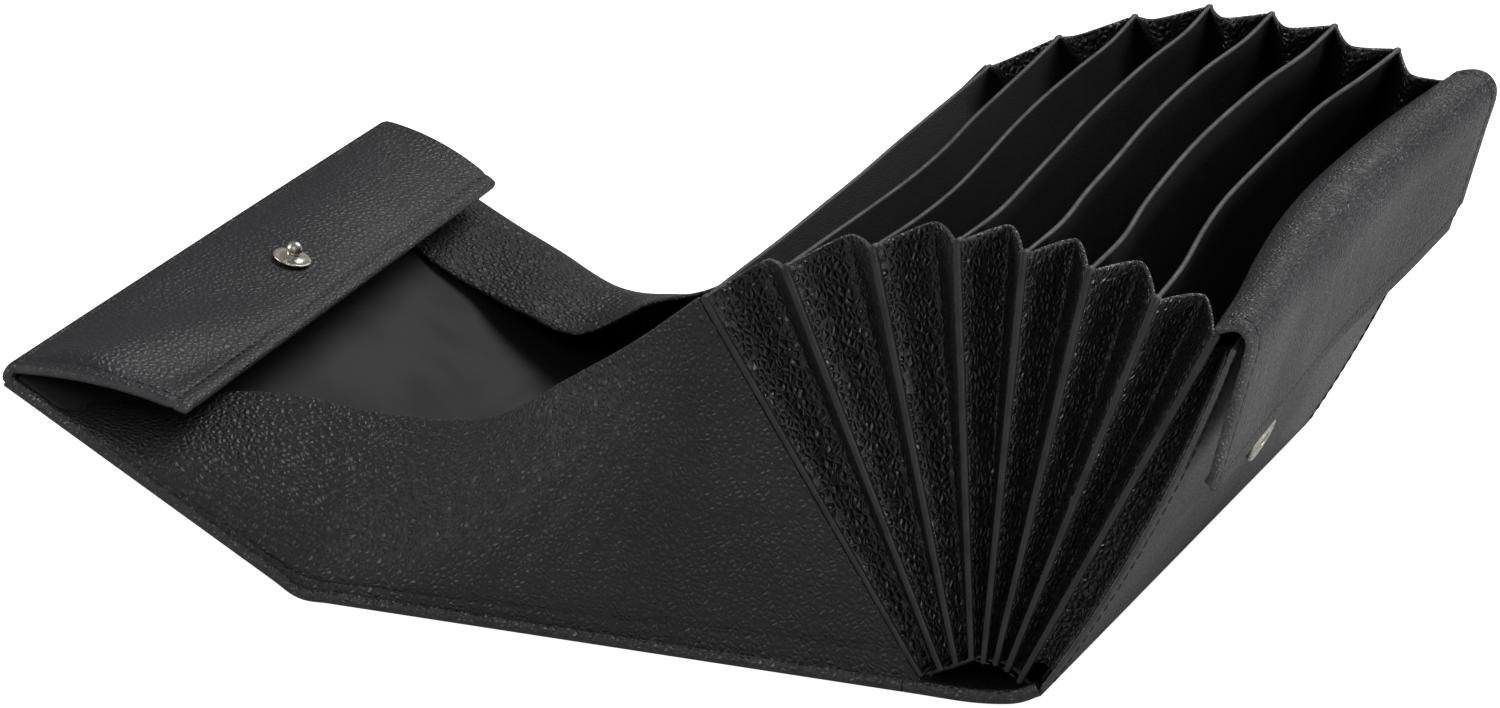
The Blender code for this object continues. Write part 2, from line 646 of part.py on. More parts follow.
def build_cover(bodies, leather, lining, metal):
    gap = SEAM_GAP / 2
    flat = (0.0, 0.0)
    front = make_body("front_cover", FRONT_HINGE, bodies[0])
    carry(front, *make_cover("front", FRONT_HINGE, (FRONT_LENGTH, FRONT_LENGTH), flat, FRONT_START,
                             LINING_START, leather, lining))
    top = make_body("top_cover", TOP_HINGE, front)
    carry(top, *make_cover("top", TOP_HINGE, (TOP_LENGTH, TOP_LENGTH), flat, gap, gap, leather, lining))
    back = make_body("back_cover", BACK_HINGE, top)
    back_lengths = (BACK_NEAR_LENGTH, BACK_FAR_LENGTH)
    carry(back, *make_cover("back", BACK_HINGE, back_lengths, BACK_RISES, gap, gap, leather, lining))
    lip = make_body("cover_lip", cover_end(0), back)
    carry(lip, make_lip(leather), *make_stud(metal))
    for side, sign in SIDES:
        far = side == "far"
        fold_height = cover_end(sign * LENGTH / 2).z
        first = gusset_rays(side, sign, FRONT_HINGE, 0.0, FRONT_LENGTH, DIVIDER_HEIGHT, FRONT_RAY_SHARES)
        first.insert(0, divider_ray(sign))
        second = gusset_rays(side, sign, TOP_HINGE, 0.0, TOP_LENGTH, DIVIDER_HEIGHT, TOP_RAY_SHARES)
        third = gusset_rays(side, sign, BACK_HINGE, BACK_RISES[far], back_lengths[far], fold_height,
                            BACK_RAY_SHARES)
        carry(bodies[0], make_gusset(1, side, sign, first, leather))
        carry(top, make_gusset(2, side, sign, second, leather))
        carry(back, make_gusset(3, side, sign, third, leather))


def main():
    clear_scene()
    leather = make_material("pebbled_leather", LEATHER_BLACK, 0.42)
    band = make_material("divider_leather", LEATHER_BLACK, 0.5)
    sheen = make_material("smooth_leather", LEATHER_SHEEN, 0.38)
    lining = make_material("tray_lining", LINING_BLACK, 0.7)
    metal = make_material("snap_metal", SNAP_CREAM, 0.3, 0.6)
    bodies = build_fan(leather, band)
    carry(bodies[FIXED_DIVIDER], make_spine(leather), make_fan_base(leather))
    build_panel(bodies, sheen, lining, metal)
    build_cover(bodies, leather, lining, metal)


main()
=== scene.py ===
# %% [markdown]
# A waiter wallet stands open: a fan of eight dividers with accordion ends, a long cover that makes
# a coin tray in front of it, a folded lip with a snap stud, and a flap over the last pocket.
# The model of its pieces is loaded first and never changed. Every visible leaf is then made again
# as a finer mesh on the same sizes, because real leather has rolled edges, grain and soft folds.

# %% Load the frame
import math

import bmesh
import bpy
import numpy as np
from mathutils import Matrix, Vector


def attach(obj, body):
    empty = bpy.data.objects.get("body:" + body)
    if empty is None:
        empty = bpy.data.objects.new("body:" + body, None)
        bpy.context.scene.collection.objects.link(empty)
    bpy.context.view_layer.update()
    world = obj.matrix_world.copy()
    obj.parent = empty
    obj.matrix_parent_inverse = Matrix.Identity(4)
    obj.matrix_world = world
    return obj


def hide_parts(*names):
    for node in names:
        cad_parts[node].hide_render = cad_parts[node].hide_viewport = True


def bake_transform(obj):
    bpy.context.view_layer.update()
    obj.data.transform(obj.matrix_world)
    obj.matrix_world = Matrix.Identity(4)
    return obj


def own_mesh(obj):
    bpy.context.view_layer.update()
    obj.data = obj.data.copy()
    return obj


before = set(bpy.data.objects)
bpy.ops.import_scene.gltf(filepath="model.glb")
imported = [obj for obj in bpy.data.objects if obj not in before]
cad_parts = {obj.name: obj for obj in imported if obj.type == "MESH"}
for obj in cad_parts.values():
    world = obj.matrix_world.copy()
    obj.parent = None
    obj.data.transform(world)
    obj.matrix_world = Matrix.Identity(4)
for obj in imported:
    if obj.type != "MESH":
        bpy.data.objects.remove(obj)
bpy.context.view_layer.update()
MM = 0.001
SIDES = (("near", -1), ("far", 1))

# %% [markdown]
# The photograph was taken with a long lens from the near right, looking down a little. A camera is
# placed by a point and three turns: yaw about the upright, pitch down, and a trace of roll. The
# three turns become three directions, and those are the columns of the camera's matrix.

# %% Camera
CAMERA_PLACE = (0.540, -1.5785, 0.642)
YAW, PITCH, ROLL = math.radians(-21.72), math.radians(19.59), math.radians(0.30)
LENS = 189.65
SENSOR = 36.0


def aim(yaw, pitch, roll):
    """The camera's right, up and forward directions."""
    forward = Vector((math.sin(yaw) * math.cos(pitch), math.cos(yaw) * math.cos(pitch), -math.sin(pitch)))
    level = Vector((math.cos(yaw), -math.sin(yaw), 0))
    upright = level.cross(forward)
    right = math.cos(roll) * level + math.sin(roll) * upright
    up = math.cos(roll) * upright - math.sin(roll) * level
    return right, up, forward


def link_object(name, data):
    """A new object with this data, in the scene."""
    made = bpy.data.objects.new(name, data)
    bpy.context.collection.objects.link(made)
    return made


right, up, forward = aim(YAW, PITCH, ROLL)
camera = link_object("photo_camera", bpy.data.cameras.new("photo_camera"))
camera.matrix_world = Matrix.Translation(CAMERA_PLACE) @ Matrix((right, up, -forward)).transposed().to_4x4()
camera.data.lens = LENS
camera.data.sensor_width = SENSOR
camera.data.sensor_fit = "HORIZONTAL"
bpy.context.scene.camera = camera
bpy.context.scene.view_settings.view_transform = "Standard"
print("lens", LENS, "mm")

# %% [markdown]
# Materials are trees of nodes. Writing each link out takes many lines, so one small helper adds a
# node, sets its values, and links whatever it is given that comes out of another node. The others
# build on it, for the few kinds of node that every finish here needs.

# %% Helpers for shader nodes


def new_material(name):
    """A material, its node tree and its main shader."""
    material = bpy.data.materials.new(name)
    material.use_nodes = True
    return material, material.node_tree, material.node_tree.nodes["Principled BSDF"]


def put(tree, kind, inputs=None, **settings):
    """Add a node. inputs maps a socket's name or number to a value or to another node's output."""
    node = tree.nodes.new(kind)
    for key, value in settings.items():
        setattr(node, key, value)
    for key, value in (inputs or {}).items():
        if isinstance(value, bpy.types.NodeSocket):
            tree.links.new(value, node.inputs[key])
        else:
            node.inputs[key].default_value = value
    return node


def maths(tree, operation, first, second=0.0, third=0.0):
    return put(tree, "ShaderNodeMath", {0: first, 1: second, 2: third}, operation=operation).outputs[0]


def smooth_range(tree, value, low, high, bottom=0.0, top=1.0):
    ranged = put(tree, "ShaderNodeMapRange", {0: value, 1: low, 2: high, 3: bottom, 4: top},
                 interpolation_type="SMOOTHSTEP")
    return ranged.outputs[0]


def mixed(tree, factor, first, second):
    """Mix two colours."""
    return put(tree, "ShaderNodeMix", {0: factor, 6: first, 7: second}, data_type="RGBA").outputs[2]


def dress(tree, shader, colour, roughness, height, depth, strength):
    """Link a colour, a roughness and a height, which becomes relief, to the shader."""
    bump = put(tree, "ShaderNodeBump", {"Strength": strength, "Distance": depth, "Height": height})
    tree.links.new(colour, shader.inputs["Base Color"])
    tree.links.new(roughness, shader.inputs["Roughness"])
    tree.links.new(bump.outputs[0], shader.inputs["Normal"])


def new_group(name, inputs, outputs):
    """An empty node group with named number, vector or colour sockets."""
    group = bpy.data.node_groups.new(name, "ShaderNodeTree")
    for label, kind, value in inputs:
        socket = group.interface.new_socket(label, in_out="INPUT", socket_type=kind)
        if kind == "NodeSocketFloat":
            socket.default_value = value
    for label, kind in outputs:
        group.interface.new_socket(label, in_out="OUTPUT", socket_type=kind)
    return group, group.nodes.new("NodeGroupInput").outputs, group.nodes.new("NodeGroupOutput")


# %% [markdown]
# The leather is black, so its grain shows almost only in its gloss. Pebble grain is a pattern of
# rounded cells with creases between them. A Voronoi texture measured to the cell edges gives just
# that, once a soft noise has bent its straight edges. The group puts out the height of the grain,
# a mask of its creases, into which the leathers paint shade, and a slow change of tone, and every
# leather places it at its own scale.

# %% Leather grain group
GRAIN_SOCKETS = (("Vector", "NodeSocketVector", None), ("Cells per metre", "NodeSocketFloat", 800.0),
                 ("Warp", "NodeSocketFloat", 0.0008), ("Fineness", "NodeSocketFloat", 0.3))
BEND_SCALE, DRIFT_SCALE = 420.0, 28.0
CELL_RANDOMNESS = 0.95
GRIT_PER_CELL = 2.3
PEBBLE_SHARE, CREASE_WIDTH_SHARE = 0.42, 0.2
DRIFT_RANGE = (0.3, 0.7)


def make_grain_group():
    outputs = (("Height", "NodeSocketFloat"), ("Crease", "NodeSocketFloat"), ("Tone", "NodeSocketFloat"))
    group, given, result = new_group("leather_grain", GRAIN_SOCKETS, outputs)
    spot, count = given["Vector"], given["Cells per metre"]
    bend = put(group, "ShaderNodeTexNoise", {"Vector": spot, "Scale": BEND_SCALE, "Detail": 2.0})
    centred = put(group, "ShaderNodeVectorMath", {0: bend.outputs["Color"], 1: (0.5, 0.5, 0.5)},
                  operation="SUBTRACT")
    pushed = put(group, "ShaderNodeVectorMath", {0: centred.outputs[0], 3: given["Warp"]},
                 operation="SCALE")
    place = put(group, "ShaderNodeVectorMath", {0: spot, 1: pushed.outputs[0]}, operation="ADD").outputs[0]
    cells = put(group, "ShaderNodeTexVoronoi",
                {"Vector": place, "Scale": count, "Randomness": CELL_RANDOMNESS},
                feature="DISTANCE_TO_EDGE").outputs["Distance"]
    finer = maths(group, "MULTIPLY", count, GRIT_PER_CELL)
    grit = put(group, "ShaderNodeTexVoronoi", {"Vector": place, "Scale": finer}, feature="F1")
    pebble = smooth_range(group, cells, 0.0, PEBBLE_SHARE)
    grain = maths(group, "SUBTRACT", 1.0, grit.outputs["Distance"])
    fine = maths(group, "MULTIPLY", grain, given["Fineness"])
    group.links.new(maths(group, "ADD", pebble, fine), result.inputs["Height"])
    # The crease mask, 1 between the pebbles: the leathers darken it as painted shade, and dull its gloss.
    crease = smooth_range(group, cells, 0.0, CREASE_WIDTH_SHARE, 1.0, 0.0)
    group.links.new(crease, result.inputs["Crease"])
    drift = put(group, "ShaderNodeTexNoise", {"Vector": spot, "Scale": DRIFT_SCALE, "Detail": 3.0})
    group.links.new(smooth_range(group, drift.outputs["Fac"], *DRIFT_RANGE), result.inputs["Tone"])
    return group


# %% [markdown]
# Where leather is folded or cut, the edge is rubbed and a little grey. Every leaf made below marks
# its rim with a number, 1 on the rounded edge and 0 elsewhere. This group breaks that mask up with
# noise, so that the wear comes and goes along the edge.

# %% Edge wear group
PATCH_SCALE = 160.0
PATCH_RANGE, LEAST_WEAR = (0.3, 0.65), 0.55


def make_wear_group():
    inputs = (("Vector", "NodeSocketVector", None), ("Rim", "NodeSocketFloat", 0.0),
              ("Amount", "NodeSocketFloat", 0.8))
    group, given, result = new_group("edge_wear", inputs, (("Wear", "NodeSocketFloat"),))
    patches = put(group, "ShaderNodeTexNoise",
                  {"Vector": given["Vector"], "Scale": PATCH_SCALE, "Detail": 4.0})
    broken = smooth_range(group, patches.outputs["Fac"], *PATCH_RANGE, LEAST_WEAR, 1.0)
    strength = maths(group, "MULTIPLY", broken, given["Amount"])
    group.links.new(maths(group, "MULTIPLY", strength, given["Rim"]), result.inputs["Wear"])
    return group


grain_group = make_grain_group()
wear_group = make_wear_group()
print("node groups:", len(bpy.data.node_groups))

# %% [markdown]
# The leathers differ in grain and gloss: pebbled on the cover, glossier on the bellows, smooth and
# dull on the dividers, silky on the panel and the lip, and finely wrinkled on the flap. They share
# one recipe, which also paints shade into the creases between the pebbles. A number that is the
# same all over, such as the specular level, is set on the shader.

# %% Leathers
RIM_GREY = (0.055, 0.055, 0.058, 1)
# Painted shadow: the near-black colour that the creases between pebbles are darkened towards.
CREASE_SHADOW_PAINT = (0.004, 0.004, 0.005, 1)
WRINKLE_STRETCH, WRINKLE_SCALE = (0.45, 1.0, 0.5), 520.0
WARP_IN_CELLS = 0.35
# The first is how far the creases are painted towards shadow; the other two change only roughness.
CREASE_SHADOW_SHARE, CREASE_DULLING, WEAR_POLISH = 0.55, 0.2, -0.12
GLOSS_DRIFT = 0.04


def leather(name, dark, light, cells, depth, roughness, specular, stretch=(1, 1, 1), wear=0.8,
            fineness=0.15, wrinkles=0.0, rim_colour=RIM_GREY):
    material, tree, shader = new_material(name)
    spot = put(tree, "ShaderNodeTexCoord").outputs["Object"]
    laid = put(tree, "ShaderNodeMapping", {0: spot, "Scale": stretch}).outputs[0]
    grain = put(tree, "ShaderNodeGroup", {"Vector": laid, "Cells per metre": cells,
                                          "Warp": WARP_IN_CELLS / cells, "Fineness": fineness},
                node_tree=grain_group)
    rim = put(tree, "ShaderNodeAttribute", attribute_name="rim").outputs["Fac"]
    worn = put(tree, "ShaderNodeGroup", {"Vector": spot, "Rim": rim, "Amount": wear}, node_tree=wear_group)
    tone, crease, rubbed = grain.outputs["Tone"], grain.outputs["Crease"], worn.outputs["Wear"]
    body = mixed(tree, tone, (*dark, 1), (*light, 1))
    # Painted shade: the creases between pebbles are darkened towards near black, for the shade that falls
    # into them.
    crease_shadowed = mixed(tree, maths(tree, "MULTIPLY", crease, CREASE_SHADOW_SHARE), body, CREASE_SHADOW_PAINT)
    colour = mixed(tree, rubbed, crease_shadowed, rim_colour)
    rough = smooth_range(tree, tone, 0.0, 1.0, roughness + GLOSS_DRIFT, roughness - GLOSS_DRIFT)
    rough = maths(tree, "ADD", rough, maths(tree, "MULTIPLY", crease, CREASE_DULLING))
    rough = maths(tree, "ADD", rough, maths(tree, "MULTIPLY", rubbed, WEAR_POLISH))
    height = grain.outputs["Height"]
    if wrinkles:
        drawn = put(tree, "ShaderNodeMapping", {0: spot, "Scale": WRINKLE_STRETCH}).outputs[0]
        ripple = put(tree, "ShaderNodeTexNoise", {0: drawn, "Scale": WRINKLE_SCALE, "Detail": 1.0})
        height = maths(tree, "MULTIPLY_ADD", ripple.outputs["Fac"], wrinkles, height)
    dress(tree, shader, colour, rough, height, depth, strength=1.0)
    shader.inputs["Specular IOR Level"].default_value = specular
    return material


BLACK, DEEP_BLACK = (0.008, 0.008, 0.009), (0.005, 0.005, 0.006)
BLUE_BLACK, BLUE_GREY = (0.013, 0.0137, 0.0165), (0.018, 0.019, 0.023)
pebbled = leather("pebbled_leather", BLACK, (0.013, 0.013, 0.015), cells=700, depth=0.3 * MM,
                  roughness=0.46, specular=0.45, rim_colour=(0.03, 0.03, 0.032, 1))
bellows_leather = leather("bellows_leather", DEEP_BLACK, (0.009, 0.009, 0.011), cells=720, depth=0.36 * MM,
                          roughness=0.3, specular=0.5, stretch=(1, 1, 0.75), wear=0.9, fineness=0.05)
divider_leather = leather("divider_leather", DEEP_BLACK, BLACK, cells=1500, depth=0.03 * MM,
                          roughness=0.5, specular=0.25, wear=1.0, fineness=0.6,
                          rim_colour=(0.085, 0.085, 0.088, 1))
silky = leather("smooth_leather", BLUE_BLACK, BLUE_GREY, cells=850, depth=0.13 * MM, roughness=0.42,
                specular=0.42, stretch=(0.8, 0.7, 1.3))
flap_leather = leather("flap_leather", BLUE_BLACK, BLUE_GREY, cells=1000, depth=0.24 * MM, roughness=0.4,
                       specular=0.45, fineness=0.1, wrinkles=2.0)
leathers = (pebbled, bellows_leather, divider_leather, silky, flap_leather)
print("leathers:", [material.name for material in leathers])

# %% [markdown]
# The tray is lined with a dull woven cloth. Two sets of fine waves, one across the other, make the
# weave, and a soft noise keeps it from looking printed. The thread is twisted, which slanting waves
# give, and the metal of the snap is worn to a duller grey in places.

# %% Lining, thread and snap metal
CLOTH_DARK, CLOTH_LIGHT = (0.0085, 0.008, 0.009, 1), (0.017, 0.0165, 0.018, 1)
WEAVE_SCALE, WEAVE_WANDER, WEAVE_RELIEF = 420.0, 0.6, 0.04 * MM
CLOTH_DRIFT_SCALE = 35.0
WEAVE_TONE, DRIFT_TONE = 0.35, 0.6
CLOTH_ROUGH, THREAD_ROUGH, METAL_ROUGH = (0.62, 0.72), (0.55, 0.4), (0.22, 0.42)
THREAD_GREY = (0.035, 0.035, 0.038, 1)
TWIST_SCALE, TWIST_TURN, TWIST_RELIEF = 900.0, (0.5, 0.6, 0.8), 0.08 * MM
NICKEL, WORN_NICKEL = (0.70, 0.67, 0.60, 1), (0.42, 0.40, 0.35, 1)
MARK_SCALE, MARK_RANGE, MARK_RELIEF = 900.0, (0.35, 0.7), 0.03 * MM


def make_lining():
    material, tree, shader = new_material("tray_lining")
    spot = put(tree, "ShaderNodeTexCoord").outputs["Object"]
    waves = {0: spot, "Scale": WEAVE_SCALE, "Distortion": WEAVE_WANDER}
    warp, weft = [put(tree, "ShaderNodeTexWave", waves, bands_direction=way, wave_profile="SIN")
                  for way in ("X", "Y")]
    weave = maths(tree, "MULTIPLY", warp.outputs["Fac"], weft.outputs["Fac"])
    drift = put(tree, "ShaderNodeTexNoise", {0: spot, "Scale": CLOTH_DRIFT_SCALE, "Detail": 3.0}).outputs[0]
    woven, drifting = maths(tree, "MULTIPLY", weave, WEAVE_TONE), maths(tree, "MULTIPLY", drift, DRIFT_TONE)
    colour = mixed(tree, maths(tree, "ADD", woven, drifting), CLOTH_DARK, CLOTH_LIGHT)
    rough = smooth_range(tree, drift, *DRIFT_RANGE, *CLOTH_ROUGH)
    dress(tree, shader, colour, rough, weave, WEAVE_RELIEF, strength=0.6)
    shader.inputs["Specular IOR Level"].default_value = 0.3
    return material


def make_thread():
    material, tree, shader = new_material("black_thread")
    spot = put(tree, "ShaderNodeTexCoord").outputs["Object"]
    turned = put(tree, "ShaderNodeMapping", {0: spot, "Rotation": TWIST_TURN}).outputs[0]
    twist = put(tree, "ShaderNodeTexWave", {0: turned, "Scale": TWIST_SCALE},
                wave_profile="SIN").outputs["Fac"]
    colour = mixed(tree, twist, (*BLACK, 1), THREAD_GREY)
    rough = smooth_range(tree, twist, 0.0, 1.0, *THREAD_ROUGH)
    dress(tree, shader, colour, rough, twist, TWIST_RELIEF, strength=0.5)
    shader.inputs["Specular IOR Level"].default_value = 0.4
    return material


def make_snap_metal():
    material, tree, shader = new_material("snap_metal")
    spot = put(tree, "ShaderNodeTexCoord").outputs["Object"]
    marks = put(tree, "ShaderNodeTexNoise", {0: spot, "Scale": MARK_SCALE, "Detail": 5.0}).outputs[0]
    dull = smooth_range(tree, marks, *MARK_RANGE)
    rough = smooth_range(tree, dull, 0.0, 1.0, *METAL_ROUGH)
    dress(tree, shader, mixed(tree, dull, NICKEL, WORN_NICKEL), rough, marks, MARK_RELIEF, strength=0.4)
    shader.inputs["Metallic"].default_value = 0.9
    return material


lining_cloth = make_lining()
thread = make_thread()
snap_metal = make_snap_metal()
print("materials:", len(bpy.data.materials))

# %% [markdown]
# A leather leaf is a curved sheet with a wall and a round rim. A Solidify modifier would give it a
# wall with square edges. Here the wall is made directly from a grid of middle points: one copy is
# pushed up and one down along the surface's normal, and half-round steps join them at the border.
# The rim's points carry the mark that the wear reads.

# %% Helpers that make closed leaves
ROUND_STEPS = 5
WELD = 0.002 * MM
SHARP = math.radians(55)


def finish_build(build, mesh, material, sharp):
    """Weld what was built, turn its faces outwards, shade it and put it in the scene."""
    bmesh.ops.remove_doubles(build, verts=build.verts, dist=WELD)
    bmesh.ops.recalc_face_normals(build, faces=build.faces)
    build.to_mesh(mesh)
    build.free()
    mesh.shade_smooth()
    mesh.set_sharp_from_angle(angle=sharp)
    mesh.materials.append(material)
    return link_object(mesh.name, mesh)


def finish_leaf(name, points, faces, material, rim):
    """A closed leaf whose points carry the rim's mark."""
    mesh = bpy.data.meshes.new(name)
    mesh.from_pydata(np.asarray(points).reshape(-1, 3).tolist(), [], faces)
    mark = mesh.attributes.new("rim", "FLOAT", "POINT")
    mark.data.foreach_set("value", np.asarray(rim, dtype=np.float32).ravel())
    build = bmesh.new()
    build.from_mesh(mesh)
    return finish_build(build, mesh, material, SHARP)


def unit(vectors):
    return vectors / np.maximum(np.linalg.norm(vectors, axis=-1, keepdims=True), 1e-12)


def surface_normals(grid):
    return unit(np.cross(np.gradient(grid, axis=0), np.gradient(grid, axis=1)))


def border(rows, columns):
    """Rows and columns of the places round a grid's border, in order."""
    loop = [(0, j) for j in range(columns)] + [(i, columns - 1) for i in range(1, rows)]
    loop += [(rows - 1, j) for j in range(columns - 2, -1, -1)] + [(i, 0) for i in range(rows - 2, 0, -1)]
    return np.array(loop).T


def grid_faces(rows, columns, first=0):
    corner = first + np.arange(rows - 1)[:, None] * columns + np.arange(columns - 1)[None, :]
    quads = np.stack([corner, corner + 1, corner + columns + 1, corner + columns], -1)
    return quads.reshape(-1, 4).tolist()


def both_faces(rows, columns):
    """The faces of two equal grids of points, the second one turned over."""
    return grid_faces(rows, columns) + [face[::-1] for face in grid_faces(rows, columns, rows * columns)]


def band_faces(upper, lower):
    """The faces between two loops of points."""
    return np.stack([upper, lower, np.roll(lower, -1), np.roll(upper, -1)], -1).tolist()


def shell(name, grid, thickness, material, end_wear=1.0):
    """A leaf with a half-round rim, from a grid of its middle points."""
    rows, columns = grid.shape[:2]
    normal = surface_normals(grid)
    half = np.broadcast_to(np.asarray(thickness, float) / 2, (rows, columns))[..., None]
    down, across = np.gradient(grid, axis=0), np.gradient(grid, axis=1)
    outward = np.zeros_like(grid)
    outward[0] -= unit(down[0])
    outward[-1] += unit(down[-1])
    outward[:, 0] -= unit(across[:, 0])
    outward[:, -1] += unit(across[:, -1])
    i, j = border(rows, columns)
    rings = []
    for step in range(1, ROUND_STEPS):
        turn = math.pi * step / ROUND_STEPS
        push = normal[i, j] * math.cos(turn) + unit(outward[i, j]) * math.sin(turn)
        rings.append(grid[i, j] + push * half[i, j])
    count, size = len(i), rows * columns
    upper, lower = grid + normal * half, grid - normal * half
    points = np.concatenate([upper.reshape(-1, 3), lower.reshape(-1, 3), *rings])
    worn = np.where((j == 0) | (j == columns - 1), end_wear, 1.0)
    rim = np.concatenate([np.zeros(2 * size), np.tile(worn, len(rings))])
    faces, flat = both_faces(rows, columns), i * columns + j
    lines = [flat] + [2 * size + k * count + np.arange(count) for k in range(len(rings))] + [flat + size]
    for line, next_line in zip(lines, lines[1:]):
        faces += band_faces(line, next_line)
    return finish_leaf(name, points, faces, material, rim)


def closed(name, upper, lower, material, rim):
    """A solid between two grids of points; where they meet at a side, the side is closed."""
    rows, columns = upper.shape[:2]
    i, j = border(rows, columns)
    flat = i * columns + j
    faces = both_faces(rows, columns) + band_faces(flat, flat + rows * columns)
    points = np.concatenate([upper.reshape(-1, 3), lower.reshape(-1, 3)])
    return finish_leaf(name, points, drop_thin(faces, points), material, np.concatenate([rim, rim]))


def drop_thin(faces, points):
    """Leave out faces whose corners fall together at a closed side, or make them triangles."""
    kept = []
    for face in faces:
        corners = []
        for corner in face:
            if all(np.abs(points[corner] - points[other]).max() > WELD for other in corners):
                corners.append(corner)
        if len(corners) > 2:
            kept.append(corners)
    return kept


def through(knots, places):
    """Points on a smooth curve through knots, an array whose first axis runs along the curve."""
    knots = np.asarray(knots, float)
    padded = np.concatenate([2 * knots[:1] - knots[1:2], knots, 2 * knots[-1:] - knots[-2:-1]])
    start = np.clip(np.floor(places).astype(int), 0, len(knots) - 2)
    t = (places - start).reshape((-1,) + (1,) * (knots.ndim - 1))
    a, b, c, d = (padded[start + k] for k in range(4))
    return 0.5 * (2 * b + (c - a) * t + (2 * a - 5 * b + 4 * c - d) * t**2 + (3 * b - a - 3 * c + d) * t**3)


def steps(low, high, count):
    return np.linspace(low, high, count)


def soft(value, low, high):
    """0 below low, 1 above high, and a smooth rise between."""
    t = np.clip((value - low) / (high - low), 0, 1)
    return t * t * (3 - 2 * t)


def dip(distance, width):
    """1 on a line, falling to 0 on both sides."""
    return np.exp(-(distance / width) ** 2)


print("steps in a round rim:", ROUND_STEPS)

# %% [markdown]
# The fan comes from a few sizes: how long and high the dividers are, where each stands, and how far
# each leans at its two ends. They repeat the frame's sizes, so that the fine leaves lie exactly on
# the pieces that they stand for. A wall gives the point at any place along it and height on it.

# %% The fan's sizes
LENGTH = 185 * MM
DIVIDER_HEIGHT = 95 * MM
DIVIDER_THICKNESS = 1.2 * MM
RIDGE_FOOT, RIDGE_HEAD = 1.4 * MM, 1.8 * MM
RIDGE_WIDTH = 3 * MM
FOOT_PITCH = RIDGE_FOOT + 1.3 * MM
FOOT_PITCH_SHARES = (1.7, 1.3, 1.3, 1.0, 1.0, 0.96, 1.04)
FOOT_RISE = 9.5 * MM
FOOT_RISE_SHARES = (0.40, 0.63, 0.82, 1.0, 0.95, 0.95, 0.85, 0.62)
FIXED_DIVIDER = 3
FIXED_FOOT_X = -0.6 * MM
NEAR_LEANS = (-32.5, -22.9, -12.4, -2.9, 4.7, 12.0, 19.8, 26.7)
FAR_LEANS = (-34.0, -25.2, -15.4, -6.3, 1.3, 9.0, 17.0, 24.1)
SEAM_GAP = 0.3 * MM
# How far each divider's top edge bows towards the panel, at even steps along its length, in mm
TOP_BOWS = ((0, 0.5, 1.0, 1.0, 1.0, 0.5, 0.3, 0.2, 0), (0, 1.5, 3.0, 4.0, 3.8, 2.5, 1.8, 1.0, 0),
            (0, 2.4, 3.1, 2.2, 1.0, 0.4, 0.6, 1.2, 0), (0, 1.8, 1.4, 0.5, -0.7, -0.9, -0.3, 0.9, 0),
            (0, 1.0, -0.6, -1.5, -2.5, -2.6, -1.8, 0.1, 0),
            (0, 0.0, -2.4, -3.6, -4.3, -4.2, -3.2, -0.6, 0),
            (0, -1.2, -3.8, -5.8, -6.2, -5.6, -4.6, -2.0, 0),
            (0, -2.0, -5.0, -7.2, -8.0, -7.2, -5.6, -3.0, 0))
BOW_POWER = 1.4
BOW_SAMPLES = 401


def between(near, far, y):
    """A size that runs evenly from the near end to the far end."""
    return near + (far - near) * (0.5 + y / LENGTH)


class Wall:
    """A leaf that stands on its foot and leans by a little less or more at each end."""

    def __init__(self, foot, leans, height, bows, power=BOW_POWER, belly=0.0):
        self.foot, self.leans, self.height, self.power, self.belly = foot, leans, height, power, belly
        self.bow_line = through(np.array(bows) * MM, steps(0, len(bows) - 1, BOW_SAMPLES))

    def bow(self, y):
        return np.interp(y, steps(-LENGTH / 2, LENGTH / 2, BOW_SAMPLES), self.bow_line)

    def place(self, y, rise, outward=0.0):
        y, rise, outward = np.broadcast_arrays(y, rise, outward)
        lean = np.radians(between(self.leans[0], self.leans[1], y))
        share = rise / self.height
        bow = self.bow(y) * np.maximum(share, 0) ** self.power
        out = outward + self.belly * 4 * share * (1 - share)
        x = self.foot[0] + np.sin(lean) * rise + np.cos(lean) * out + bow
        z = self.foot[1] + np.cos(lean) * rise - np.sin(lean) * out
        return np.stack([x, y, z], -1)


offsets = np.concatenate([[0.0], np.cumsum(FOOT_PITCH_SHARES) * FOOT_PITCH])
feet = [(x + FIXED_FOOT_X - offsets[FIXED_DIVIDER], FOOT_RISE * share)
        for x, share in zip(offsets, FOOT_RISE_SHARES)]
dividers = [Wall(foot, leans, DIVIDER_HEIGHT, bows)
            for foot, leans, bows in zip(feet, zip(NEAR_LEANS, FAR_LEANS), TOP_BOWS)]
divider_bodies = ["base" if k == FIXED_DIVIDER else f"divider_{k + 1}" for k in range(len(dividers))]
print("dividers stand at", [round(x / MM, 1) for x, z in feet], "mm")

# %% [markdown]
# Each divider is a stiffened leather leaf. Its ends are turned over into a rounded ridge, which is
# what the bellows are sewn to, and its cut top edge is burnished grey. A single sheet whose wall
# grows towards the ends gives both. No two leaves in the photograph bend alike, so a slow wave with
# its own phase is added to each, fading to nothing at the sewn ends.

# %% Dividers
RIDGE_RUNOUT = 0.9 * MM
RIDGE_WEAR = 0.3
WAVE_HEIGHT = 0.25 * MM
RIDGE_GROOVE_WIDTH, RIDGE_GROOVE_DEPTH = 0.5 * MM, 0.25 * MM
DIVIDER_SPACING, DIVIDER_ROWS, TOP_BAND = 3 * MM, 30, 3 * MM
# Turns along the length and phase of each divider's wave
WAVES = ((1.0, 0.4), (1.7, 2.1), (1.3, 4.0), (1.9, 0.9), (1.2, 3.1), (1.6, 5.2), (2.0, 1.5), (1.1, 2.6))
